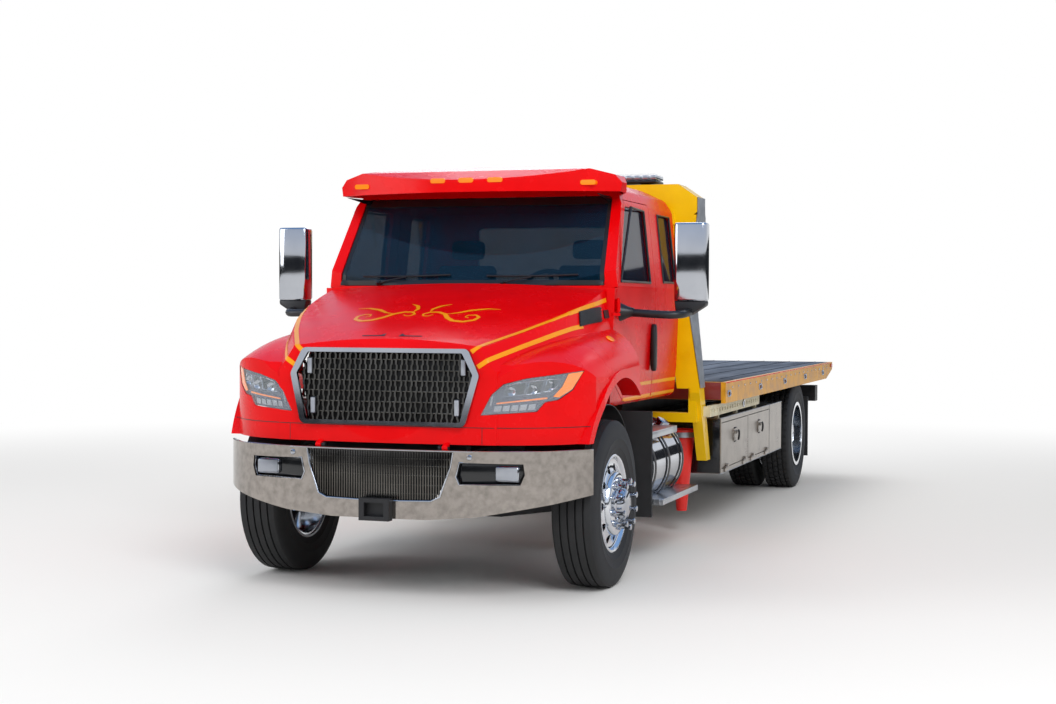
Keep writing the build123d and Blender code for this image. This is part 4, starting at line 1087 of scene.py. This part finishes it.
@dataclass
class BumperTrim:
    """Lower grille, fog lamps, bolts and the bright edge round each pocket."""

    pocket: tuple[Flat, ...] = ((500, 700), (480, 745), (500, 828), (860, 822), (868, 760), (845, 700))
    opening: tuple[Flat, ...] = ((462, 884), (448, 800), (385, 625), (330, 600), (0, 592))
    bar_pitch: float = 16.0

    def front(self, x: float) -> float:
        """Gives the bumper's face at a place across: a shallow bow, then two straight runs."""
        reach = abs(x)
        if reach < 620:
            return -990.0 + 39.0 * (reach / 620.0) ** 2
        return -951.0 + (min(reach, 980.0) - 620.0) * 0.42 + max(reach - 980.0, 0.0) * 1.264

    def edge(self, name: str, outline: Sequence[Flat], radius: float) -> Piece:
        """Runs a bright bead round an outline on the bumper's face."""
        return rod(name, [(x, self.front(x) - 1.0, z) for x, z in outline], radius, bent=False)

    def lower_grille(self) -> None:
        """Fills the lower opening with fine upright bars, crossed by five thin rails."""
        bars = []
        x = -456.0
        while x <= 456.0:
            reach = abs(x)
            low = 594.0
            for (x0, z0), (x1, z1) in zip(self.opening, self.opening[1:]):
                if x1 <= reach <= x0:
                    low = z1 + (z0 - z1) * (reach - x1) / max(x0 - x1, 1e-6)
            if 884 - low > 20:
                y = self.front(x) + 8
                bars.append(block("fin", (x - 3.5, y, low + 2), (x + 3.5, y + 12, 884), 1.2))
            x += self.bar_pitch
        for level, reach in ((842, 452), (800, 445), (745, 425), (690, 405), (640, 385)):
            route = [(px, self.front(px) + 17, level) for px in (-reach, -reach / 2, 0, reach / 2, reach)]
            bars.append(rod("rail", route, 4.0))
        fit("bumper_fins", Finishes.dark_chrome, "root", *bars, nodes=("bumper_grille",), copies=Copies.ONE)
        backing = ribbon(
            "bumper_backing",
            [(x, self.front(x) + 34, 596 + max(abs(x) - 330, 0) * 1.4) for x in range(-440, 441, 55)],
            [(x, self.front(x) + 34, 886) for x in range(-440, 441, 55)], (24, 4)
        )
        fit("bumper_backing", Finishes.lamp_black, "root", thicken(backing, 3.0), copies=Copies.ONE)

    def fog_lamps(self) -> None:
        """Builds the fog lamps, each a bright shell and a ribbed lens in the outer half of its pocket."""
        inside = [(x, self.front(x) + 34, z) for x, z in self.pocket]
        tray = plate("fog_tray", inside, (0, 10, 0), 2.0)
        fit("fog_trays", Finishes.lamp_black, "root", tray, nodes=("fog_lamps",))
        y = self.front(760)
        shell = block("fog_shell", (688, y + 6, 716), (836, y + 40, 808), 18)
        lens = block("fog_lens", (696, y - 1, 724), (828, y + 10, 800), 14)
        fit("fog_shells", Finishes.chrome, "root", shell)
        fit("fog_lenses", Finishes.frosted, "root", lens)

    def beads(self) -> None:
        """Runs the bright edges and sets the bolts above the pockets."""
        pockets = both(self.edge("pocket_bead", [*self.pocket, *self.pocket[:2]], 4.5), "pocket_beads")
        mouth = [*self.opening, *[(-x, z) for x, z in self.opening[::-1][1:]]]
        bolt = turned(
            "bolt", ((0, 0), (14, 0), (16, -4), (12, -9), (0, -11)), (560, self.front(560), 858), (0, 1, 0), 20
        )
        lip = rod("lip", [(x, self.front(x) + 5, 890) for x in range(-1176, 1177, 49)], 5.5)
        parts = [pockets, self.edge("mouth_bead", mouth, 5.0), both(bolt, "bolts"), lip]
        fit("bumper_beads", Finishes.chrome, "root", *parts, copies=Copies.ONE)

    def build(self) -> None:
        """Builds all of the bumper's fittings."""
        self.lower_grille()
        self.fog_lamps()
        self.beads()


# ---------------------------------------------------------------- wheels


@dataclass
class RunningGear:
    """Ribbed front tyres, lugged rear tyres, front discs, lug nut covers, hub caps and arch liners."""

    level: float = 516.0
    front_crown: float = 516.0
    rear_crown: float = 508.0
    arch_radius: float = 606.0
    grooves: tuple[float, ...] = (-72.0, -24.0, 24.0, 72.0)
    groove_depth: float = 14.0
    front: tuple[float, float] = (1035.0, 0.0)
    rear: tuple[tuple[float, float], ...] = ((745.0, 6320.0), (1080.0, 6320.0))
    wall: tuple[Flat, ...] = (
        (290, -113), (305, -119), (322, -124), (340, -131), (344, -134), (350, -133), (372, -138), (395, -140),
        (399, -142), (405, -140), (440, -139), (470, -135), (488, -130), (503, -123), (511, -114)
    )
    disc_section: tuple[Flat, ...] = (
        (302, 2), (303, 7), (297, 10), (288, 8), (281, 0), (276, -12), (264, -18), (228, -14), (206, -6), (199, 0),
        (196, 22), (190, 29), (180, 32), (168, 34), (112, 36), (104, 40), (0, 40), (0, 30), (92, 30), (100, -10),
        (170, -10), (262, -36), (276, -38), (276, -222), (302, -226), (303, -232), (288, -234), (286, -226), (286, -4)
    )
    cover_section: tuple[Flat, ...] = (
        (0, 118), (15, 118), (19, 115), (19, 107), (13, 102), (12, 62), (14, 54), (21, 50), (21, 32), (0, 32)
    )
    cap_section: tuple[Flat, ...] = (
        (0, 102), (62, 99), (82, 92), (94, 80), (98, 70), (100, 50), (112, 42), (114, 34), (0, 34)
    )

    def section(self, crown: float) -> list[Flat]:
        """Gives a tyre's section: wall, ribs between grooves, and the other wall."""
        ribs: list[Flat] = []
        for middle in self.grooves:
            top = crown - 3.0 * (middle / 112.0) ** 2
            low = top - self.groove_depth
            ribs += [(top, middle - 5.5), (low, middle - 3.5), (low, middle + 3.5), (top, middle + 5.5)]
        return [*self.wall, *ribs, *[(radius, -reach) for radius, reach in self.wall[::-1]]]

    def tyre(self, name: str, x: float, y: float, crown: float) -> Piece:
        """Spins one tyre."""
        return turned(name, self.section(crown), (x, y, self.level), steps=96)

    def lugs(self, x: float, y: float) -> Piece:
        """Sets the blocks on the shoulders and crown of a rear tyre."""
        rows = []
        for reach, width, first in ((-96, 34, 0.0), (96, 34, 3.75), (-48, 36, 3.0), (0, 38, 0.5), (48, 36, 5.0)):
            lug = block(
                "lug", (x + reach - width / 2, y - 24, self.level + 500),
                (x + reach + width / 2, y + 24, self.level + 515.5 - 3.0 * (reach / 112.0) ** 2), 2.5
            )
            rows.append(copied(lug, about((x, y, self.level), (1, 0, 0), 48, first), "lug_row"))
        return joined(rows, "lugs")

    def disc(self, face: float, y: float) -> Piece:
        """Spins the rim and disc, and cuts the ten round hand holes."""
        wheel = turned("disc", self.disc_section, (face, y, self.level), steps=96)
        drill = turned("drill", ((0, 40), (27, 40), (27, -60), (0, -60)), (face, y, self.level + 224), steps=24)
        drill = copied(drill, about((face, y, self.level), (1, 0, 0), 10, 18), "drill")
        worked(wheel, "BOOLEAN", object=drill, operation="DIFFERENCE", solver="EXACT")
        bpy.data.objects.remove(drill)
        return smooth(wheel, 35)

    def wheels(self) -> None:
        """Builds the tyres and bright fittings of the left side, and mirrors them."""
        x, y = self.front
        tyre = self.tyre("tyre", x, y, self.front_crown)
        fit("front_tyre_ribbed", Finishes.rubber, "front_wheel", tyre, nodes=("front_tyre",), copies=Copies.EACH)
        parts = []
        for tyre_x, tyre_y in self.rear:
            parts += [self.tyre("tyre", tyre_x, tyre_y, self.rear_crown), self.lugs(tyre_x, tyre_y)]
        fit("rear_tyres_lugged", Finishes.rubber, "rear_wheel", *parts, nodes=("rear_tyres",), copies=Copies.EACH)
        face = x + 112
        disc = self.disc(face, y)
        fit("front_wheel_disc", Finishes.polished, "front_wheel", disc, nodes=("front_wheel",), copies=Copies.EACH)
        cover = turned("cover", self.cover_section, (face, y, self.level + 142), steps=20)
        covers = copied(cover, about((face, y, self.level), (1, 0, 0), 10), "covers")
        cap = turned("hub_cap", self.cap_section, (face, y, self.level))
        fit("hub_covers", Finishes.chrome, "front_wheel", covers, cap, copies=Copies.EACH)

    def arch(self) -> None:
        """Lines each wheel arch with a black shell above the tyre."""
        x, y = self.front

        def shape(u: float, v: float) -> Point:
            """Bends the shell over the tyre."""
            turn = math.radians(12 + 156 * u)
            rise = self.level + self.arch_radius * math.sin(turn)
            return x - 300 + 372 * v, y + self.arch_radius * math.cos(turn), rise

        shell = thicken(laid("arch", (48, 6), shape), 4.0)
        fit("arch_liners", Finishes.plastic, "hood", shell)

    def build(self) -> None:
        """Builds the wheels and the arch liners."""
        self.wheels()
        self.arch()


# ---------------------------------------------------------------- cab


@dataclass
class CabTrim:
    """Window seals, wipers, door grips, gold side bands, mirrors and the light bar."""

    pane: tuple[Flat, ...] = ((-936, 1868), (936, 1868), (886, 2466), (-886, 2466))
    door_pane: tuple[Flat, ...] = ((622, 1896), (1382, 1896), (1382, 2392), (910, 2392))
    quarter_pane: tuple[Flat, ...] = ((1752, 1906), (2122, 1906), (2102, 2384), (1752, 2384))
    side_levels: tuple[float, ...] = (1201.0, 1112.0)
    door_end: float = 1540.0
    mirror_squareness: float = 0.42
    mirror_facets: int = 48

    def windshield(self) -> None:
        """Frames the windshield, with the dark band along its top."""
        edges = (
            (((-934, 1868), (934, 1868)), ((-930, 1900), (930, 1900)), (60, 2)),
            (((-892, 2410), (892, 2410)), ((-887, 2464), (887, 2464)), (60, 2)),
            (((905, 1872), (862, 2462)), ((934, 1872), (887, 2462)), (30, 2)),
            (((-934, 1872), (-887, 2462)), ((-905, 1872), (-862, 2462)), (30, 2))
        )
        strips = [
            thicken(front_sheet("seal", "cab_glass", low, high, -2.5, cells), 4.0) for low, high, cells in edges
        ]
        fit("windshield_seal", Finishes.plastic, "root", *strips, copies=Copies.ONE)

    def side_seal(self, name: str, pane: Sequence[Flat], reach: float) -> Piece:
        """Runs a rubber bead round a side window, at a reach that follows the cab's slope."""
        spots = []
        for y, z in [*pane, pane[0], pane[1]]:
            place = skin_of(
                "cab_shell" if y > self.door_end else "door_left", Vector((1000, y, z)), (0, y, z - 40)
            )[0]
            spots.append((place.x * 1000 + reach, y, z))
        return rod(name, spots, 9.0, bent=False)

    def bands(self, node: str, places: Point, cells: int, heart: float) -> list[Piece]:
        """Lays a gold band at each side level, through three places along a node."""
        return [
            painted_band("band", node, [(1000, y, z) for y in places], (24, 24), 1.2, cells, (0, heart, z))
            for z in self.side_levels
        ]

    def wipers(self) -> None:
        """Lays the two wipers along the foot of the windshield."""
        parts = []
        for pivot, tip, end in ((-640, -130, -760), (250, 760, 130)):
            spots = [(x, front_of("cab_glass", x, z, 0)[1] - 16, z) for x, z in
                     ((end, 1930), ((end + tip) / 2, 1922), (tip, 1938))]
            parts.append(rod("blade", spots, 7.0))
            middle = spots[1]
            foot = front_of("cab_glass", pivot, 1880, 0)
            parts.append(rod("arm", [(pivot, foot[1] - 14, 1880), (pivot + 60, foot[1] - 34, 1900),
                                     (middle[0], middle[1] - 10, middle[2])], 5.5))
            parts.append(turned("pivot", ((0, 26), (13, 24), (18, 8), (18, 0), (0, 0)), (pivot, foot[1] - 8, 1880),
                                (0, -0.8, 0.6), 20))
        fit("wipers", Finishes.plastic, "root", *parts, copies=Copies.ONE)

    def doors(self) -> None:
        """Adds each door's grip, window bead and gold bands."""
        half = ((1465, 1276), (1484, 1291), (1496, 1325), (1500, 1440), (1496, 1560), (1484, 1600), (1465, 1614))
        grip_edge = [*half, *[(2 * 1465 - y, z) for y, z in half[-2:0:-1]]]
        grip = plate("grip", [(1006, y, z) for y, z in grip_edge], (38, 0, 0), 12)
        bead = self.side_seal("bead", self.door_pane, 2.0)
        bands = self.bands("door_left", (770, 1150, 1522), 50, 1150)
        fit("door_fittings", Finishes.plastic, "door", grip, bead, copies=Copies.EACH)
        fit("door_bands", Finishes.gold, "door", *bands, copies=Copies.EACH)

    def rear_quarter(self) -> None:
        """Adds the bead of the quarter window and the bands behind the door."""
        bead = self.side_seal("bead", self.quarter_pane, 2.0)
        fit("quarter_beads", Finishes.plastic, "root", bead)
        bands = self.bands("cab_shell", (1542, 1900, 2226), 40, 1880)
        fit("cab_bands", Finishes.gold, "root", *bands)

    def mirrors(self) -> None:
        """Builds each mirror: plated shell with rounded corners, two glasses, round arm and flared foot."""
        outline = []
        for step in range(self.mirror_facets):
            turn = math.tau * step / self.mirror_facets
            reach = [
                math.copysign(
                    abs(value) ** self.mirror_squareness, value
                ) for value in (math.cos(turn), math.sin(turn))
            ]
            outline.append((1437 + 110 * reach[0], 839 + 64 * reach[1], 1766))
        shell = plate("shell", outline, (0, 0, 514), 14)
        fit("mirror_shell", Finishes.chrome, "door", shell, copies=Copies.EACH)
        back = block("back", (1338, 897, 1782), (1536, 907, 2264), 5)
        wedge = plate("wedge", ((1332, 790, 1770), (1542, 790, 1770), (1540, 790, 1738), (1440, 790, 1676),
                                (1345, 790, 1664)), (0, 98, 0), 10)
        arm = rod("arm", ((1030, 630, 1694), (1180, 631, 1684), (1350, 634, 1676), (1412, 672, 1680),
                          (1428, 760, 1690), (1430, 830, 1700)), 27.0)
        foot = turned("foot", ((0, -48), (56, -48), (60, -40), (52, -18), (40, 8), (31, 34), (28, 52), (0, 52)),
                      (1052, 630, 1694), (1, 0, 0), 36)
        fit("mirror_arm", Finishes.plastic, "door", back, wedge, arm, foot, copies=Copies.EACH)
        glass = block("glass", (1350, 905, 1795), (1524, 911, 2050), 5)
        low = block("low_glass", (1350, 905, 2070), (1524, 911, 2245), 5)
        fit("mirror_glass", Finishes.polished, "door", glass, low, nodes=("door_mirror",), copies=Copies.EACH)

    def light_bar(self) -> None:
        """Builds the light bar: dark base, five clear lenses and bright modules inside them."""
        base = block("base", (-806, 2352, 2664), (806, 2594, 2684), 8)
        feet = [block("foot", (x - 30, 2420, 2650.5), (x + 30, 2520, 2668), 5) for x in (-700, 700)]
        fit("light_bar_base", Finishes.plastic, "root", base, *feet, nodes=("light_bar",), copies=Copies.ONE)
        lenses, modules = [], []
        for start, end in ((-806, -486), (-478, -166), (-158, 158), (166, 478), (486, 806)):
            lenses.append(block("lens", (start, 2350, 2685), (end, 2596, 2734), 16))
            for x in range(int(start) + 40, int(end) - 20, 64):
                modules.append(block("module", (x - 24, 2366, 2690), (x + 24, 2580, 2722), 6))
        fit("light_bar_modules", Finishes.chrome, "root", *modules, copies=Copies.ONE)
        fit("light_bar_lenses", Finishes.lens, "root", *lenses, copies=Copies.ONE)

    def build(self) -> None:
        """Builds all of the cab's trim."""
        self.windshield()
        self.wipers()
        self.doors()
        self.rear_quarter()
        self.mirrors()
        self.light_bar()


@dataclass
class Seats:
    """Two padded cloth seats: a cushion, a leaning back and a headrest each."""

    middle: float = 470.0
    half: float = 245.0
    voxel: float = 0.012
    pressure: float = 4.0
    cap: float = 0.014
    steps: int = 20
    rounding: float = 34.0

    def pad(self, name: str, low: Point, high: Point, lean: float) -> Piece:
        """Shapes one pad: a block with soft edges, puffed a little by pressure in its cloth.

        Args:
            name: The pad's name.
            low: Lowest corner, in millimetres.
            high: Highest corner, in millimetres.
            lean: How far back it leans, in degrees, about its lowest front edge.

        Returns:
            The padded mesh.
        """
        pad = block(name, low, high, self.rounding)
        worked(pad, "REMESH", mode="VOXEL", voxel_size=self.voxel)
        start = [point.co.copy() for point in pad.data.vertices]
        cloth = pad.modifiers.new("cloth", "CLOTH")
        cloth.settings.use_pressure = True
        cloth.settings.uniform_pressure_force = self.pressure
        cloth.settings.effector_weights.gravity = 0.0
        for frame_number in range(1, self.steps + 1):
            bpy.context.scene.frame_set(frame_number)
        bpy.context.view_layer.objects.active = pad
        bpy.ops.object.modifier_apply(modifier="cloth")
        bpy.context.scene.frame_set(1)
        for point, place in zip(pad.data.vertices, start):
            move = point.co - place
            if move.length > self.cap:
                point.co = place + move.normalized() * self.cap
        worked(pad, "SMOOTH", factor=0.6, iterations=6)
        if lean:
            turn_at = spot(self.middle, low[1], low[2])
            turn = Matrix.Translation(turn_at) @ Matrix.Rotation(math.radians(-lean), 4, "X")
            pad.data.transform(turn @ Matrix.Translation(-turn_at))
        return smooth(dressed(pad, Finishes.cloth))

    def build(self) -> None:
        """Builds the driver's seat and copies it for the passenger."""
        left, right = self.middle - self.half, self.middle + self.half
        cushion = self.pad("cushion", (left, 1160, 1425), (right, 1640, 1560), 0)
        back = self.pad("seat_back", (left + 12, 1588, 1560), (right - 12, 1700, 2060), 12)
        rest = self.pad("headrest", (self.middle - 130, 1608, 2080), (self.middle + 130, 1690, 2220), 8)
        rest.data.transform(Matrix.Translation((0, 0.095, 0)))
        base = block("seat_base", (self.middle - 180, 1230, 1118.5), (self.middle + 180, 1600, 1430), 12)
        fit("seat_bases", Finishes.trim, "root", base)
        for number, (piece, name) in enumerate(
            ((cushion, "seat_cushions"), (back, "seat_backs"), (rest, "headrests"))
        ):
            pair = both(piece, name)
            hang(pair, "root", *(("seats",) if number == 0 else ()))


# ---------------------------------------------------------------- chassis fittings, deck and toolboxes


@dataclass
class TankFittings:
    """Tread boards over the fuel tanks, black straps round them, filler caps and bright end beads."""

    middle: tuple[float, float] = (850.0, 640.0)
    straps: tuple[float, ...] = (1050.0, 1440.0, 1830.0)

    def steps(self) -> None:
        """Builds the two tread boards of each side, which the tank carries."""
        parts = [block("arm", (880, y - 15, 392), (1196, y + 15, 421.5), 3.0) for y in (1300, 1900)]
        for (x, y, z), (reach, end, top), lip in (
            ((905, 952, 846), (1150, 1648, 893), 886), ((950, 1052, 390), (1200, 2098, 430), 424)
        ):
            parts += [
                block("board", (x, y, top - 9), (reach, end, top), 2.0),
                block("lip", (reach - 10, y, z), (reach, end, lip), 2.0),
                block("end", (x, y, z), (reach - 2, y + 8, lip), 2.0)
            ]
        fit("tread_boards", Finishes.step_plate, "root", *parts, nodes=("tank_steps",))

    def build(self) -> None:
        """Builds the boards, the straps, the caps and the beads."""
        self.steps()
        x, z = self.middle
        hoop = ((299, -24), (301, -24), (303, -20), (303, 20), (301, 24), (299, 24))
        bands = [turned("strap", hoop, (x, y, z), (0, 1, 0), 64) for y in self.straps]
        fit("tank_straps", Finishes.plastic, "root", *bands)
        cap = turned("cap", ((0, 42), (44, 42), (50, 36), (50, 12), (40, 8), (40, -12), (0, -12)), (1010, 1740, 885),
                     (0.5, 0, 0.86), 32)
        bead = ((268, -2), (276, -6), (284, -2), (280, 4), (270, 4))
        ends = [turned("bead", bead, (x, y, z), (0, 1, 0), 64) for y in (948, 1932)]
        fit("tank_caps", Finishes.chrome, "root", cap, *ends)


@dataclass
class PylonTrim:
    """Bright cheeks on the outer sides of the headboard."""

    beam_side: tuple[tuple[float, float, float, float], ...] = (
        (1127, 2552, 2352, 2598), (1127, 2440, 2352, 2598), (1123, 2420, 2352, 2648), (1065, 1700, 2352, 2648),
        (1158, 1125, 2352, 2502)
    )

    def build(self) -> None:
        """Lays a bright cheek down each outer side."""
        low = [(x + 1.5, front, z) for x, z, front, _ in self.beam_side]
        high = [(x + 1.5, rear, z) for x, z, _, rear in self.beam_side]
        cheek = thicken(ribbon("cheek", low, high, (24, 4)), 2.0, 0.0)
        fit("pylon_cheeks", Finishes.galvanised, "root", cheek)


@dataclass
class Deck:
    """A dark red panel painted with the shade on the deck's front face, slot liners, rail bolts and lines, floor ribs
    and the winch's rope, on the load bed.
    """

    slots: tuple[float, ...] = (2825.0, 4103.0, 5272.0, 6399.0, 7494.0)
    slot_level: float = 1066.0

    def slot_ring(self, y: float) -> Piece:
        """Bends a bright liner round one long slot."""
        z = self.slot_level
        route = [(1276, y - 44, z + 20), (1276, y + 44, z + 20), (1276, y + 56, z), (1276, y + 44, z - 20),
                 (1276, y - 44, z - 20), (1276, y - 56, z), (1276, y - 44, z + 20), (1276, y + 44, z + 20)]
        return rod("liner", route, 7.5, bent=False)

    def rail_bolts(self) -> Piece:
        """Sets a row of round bolt heads along the rail."""
        bolt = turned("bolt", ((0, 5), (6, 5), (9, 2), (9, 0), (0, 0)), (1275, 2950, 1110), (1, 0, 0), 12)
        return copied(bolt, shifted(*[(0, step * 240, 0) for step in range(21)]), "bolts")

    def build(self) -> None:
        """Builds the pieces that ride on the load bed."""
        # Painted shade: a thin dark red panel over the deck's front face stands for the shadow that lies there.
        panel = block("panel", (-1238, 2702, 1022), (1238, 2705.8, 1155), 1.5)
        fit("deck_front_painted_shade", Finishes.red_in_painted_shade, "load_bed", panel, copies=Copies.ONE)
        liners = joined([self.slot_ring(y) for y in self.slots], "liners")
        fit("deck_slot_liners", Finishes.chrome, "load_bed", liners, self.rail_bolts())
        line = block("line", (1273, 2712, 1149), (1276.2, 7990, 1156), 1.0)
        fit("deck_rail_lines", Finishes.red, "load_bed", line)
        ribs = [block("rib", (x - 4, 3160, 1156.5), (x + 4, 8120, 1160), 1.4) for x in range(-1100, 1101, 275)]
        fit("deck_ribs", Finishes.deck_seam, "load_bed", *ribs, copies=Copies.ONE)
        turns = [(96.0, -262.0)]
        for step in range(26):
            left = -262 + step * 20.2
            turns += [(99, left + 1), (105, left + 6), (106, left + 10), (105, left + 14), (99, left + 19)]
        turns.append((96.0, 265.0))
        drum = turned("rope", turns, (0, 2950, 1290), (1, 0, 0), 32)
        fit("winch_rope_layer", Finishes.galvanised, "load_bed", drum, copies=Copies.ONE)


@dataclass
class BoxFittings:
    """Paddle handles, seams, a black plate of painted shade on the front face and edge angles of the toolboxes, and
    the eyes of the tie rails.
    """

    leaves: tuple[tuple[float, float], ...] = ((2870.0, 3880.0), (3920.0, 4850.0))

    def build(self) -> None:
        """Builds one handle for each door, then the fixed pieces."""
        for number, (start, end) in enumerate(self.leaves, 1):
            y = (start + end) / 2
            pan = block("pan", (1211, y - 30, 652), (1219, y + 30, 770), 5)
            lever = rod("lever", ((1238, y, 748), (1246, y, 742), (1246, y, 690), (1238, y + 4, 668)), 8.0)
            door = f"toolbox_door_{number}"
            fit(f"toolbox_handle_{number}", Finishes.plastic, door, pan, lever, copies=Copies.EACH)
        ring = turned("eye", ((18, 8), (30, 8), (34, 3), (34, 0), (18, 0)), (1203, 3750, 942), (1, 0, 0), 28)
        fit("tie_rail_eyes", Finishes.chrome, "root", ring)
        seam = block("seam", (1210.5, 4867, 446), (1213.2, 4873, 866), 1.0)
        edges = [block("edge", (1196, 2828, z), (1214, 5462, z + 7), 2.0) for z in (866, 437)]
        # Painted shade: a thin black plate on each toolbox's front face stands for the shadow that falls there under
        # the deck.
        end = block("end", (626, 2825, 446), (1206, 2829.8, 864), 1.5)
        fit("toolbox_seam_and_painted_shade", Finishes.lamp_black, "root", seam, end)
        fit("toolbox_edges", Finishes.galvanised, "root", *edges)


@dataclass
class Tail:
    """Red lamps with bright rings at the back of the chassis."""

    places: tuple[float, ...] = (700.0, 900.0, 1100.0)

    def build(self) -> None:
        """Builds the domed lamps and their rings."""
        for name, finish, section in (
            ("rear_lamps", Finishes.red_lens, ((0, 20), (24, 16), (42, 6), (46, 0), (46, -4), (0, -4))),
            ("rear_lamp_rings", Finishes.chrome, ((46, 4), (54, 4), (56, 0), (54, -6), (46, -6)))
        ):
            lamp = turned("lamp", section, (700, 7664, 850), (0, 1, 0), 32)
            fit(name, finish, "root", copied(lamp, shifted(*[(x - 700, 0, 0) for x in self.places]), "lamps"))


# ---------------------------------------------------------------- the frame's own nodes


@dataclass
class FrameFinishes:
    """Gives every node of the frame its finish."""

    table: dict[str, tuple[str, ...]] = field(
        default_factory=lambda: {
            "red": ("cab_shell", "hood", "door_left", "door_right", "sun_visor"), "yellow": ("pylon",),
            "rail_yellow": ("deck_rails",),
            "black": (
                "frame_rails", "tilt_frame", "deck_sills", "wheel_lift_boom", "wheel_lift_crossbar", "rear_light_bar",
                "tow_bracket", "knuckle_left", "knuckle_right", "lift_barrels", "winch"
            ),
            "cream": ("tie_rails",), "bumper_chrome_painted_reflection": ("front_bumper",),
            "chrome": ("grille_surround", "lift_rods", "fuel_tanks", "exhaust"),
            "dark_chrome": ("grille", "bumper_grille"),
            "polished": ("front_wheel_left", "front_wheel_right", "rear_wheels_left", "rear_wheels_right"),
            "box_plate": (
                "toolboxes", "toolbox_door_1_left", "toolbox_door_1_right", "toolbox_door_2_left",
                "toolbox_door_2_right"
            ),
            "step_plate": ("tank_steps",), "deck_plate": ("deck",), "cast": ("axles", "leaf_springs", "engine_block"),
            "rubber": ("front_tyre_left", "front_tyre_right", "rear_tyres_left", "rear_tyres_right", "mud_flaps"),
            "trim": ("dashboard",), "cloth": ("seats",),
            "glass": ("cab_glass", "door_glass_left", "door_glass_right"),
            "lens": ("headlamps", "fog_lamps", "light_bar"), "amber": ("marker_lamps",), "red_lens": ("tail_lamps",),
            "cone_red": ("traffic_cone",), "galvanised": ("cone_holder",)
        }
    )

    def dress(self, nodes: dict[str, bpy.types.Object]) -> None:
        """Puts each node's finish in its material slots.

        Args:
            nodes: The frame's nodes by name.
        """
        for finish, names in self.table.items():
            for name in names:
                material = getattr(Finishes, finish).build()
                node = nodes[name]
                if not node.data.materials:
                    node.data.materials.append(material)
                for slot in node.material_slots:
                    slot.material = material
                log.info("%s wears %s", name, finish)


def main() -> None:
    """Loads the frame, dresses it and adds every piece in order."""
    logging.basicConfig(level=logging.INFO, format="%(message)s")
    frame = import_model()
    Stage().build()
    FrameFinishes().dress(frame["nodes"])
    assemblies = (
        HoodTrim(), RadiatorGrille(), Headlamps(), BumperTrim(), RunningGear(), CabTrim(), Seats(), TankFittings(),
        PylonTrim(), Deck(), BoxFittings(), Tail()
    )
    for assembly in assemblies:
        assembly.build()
        log.info("%s done", type(assembly).__name__)


if __name__ == "__main__":
    main()
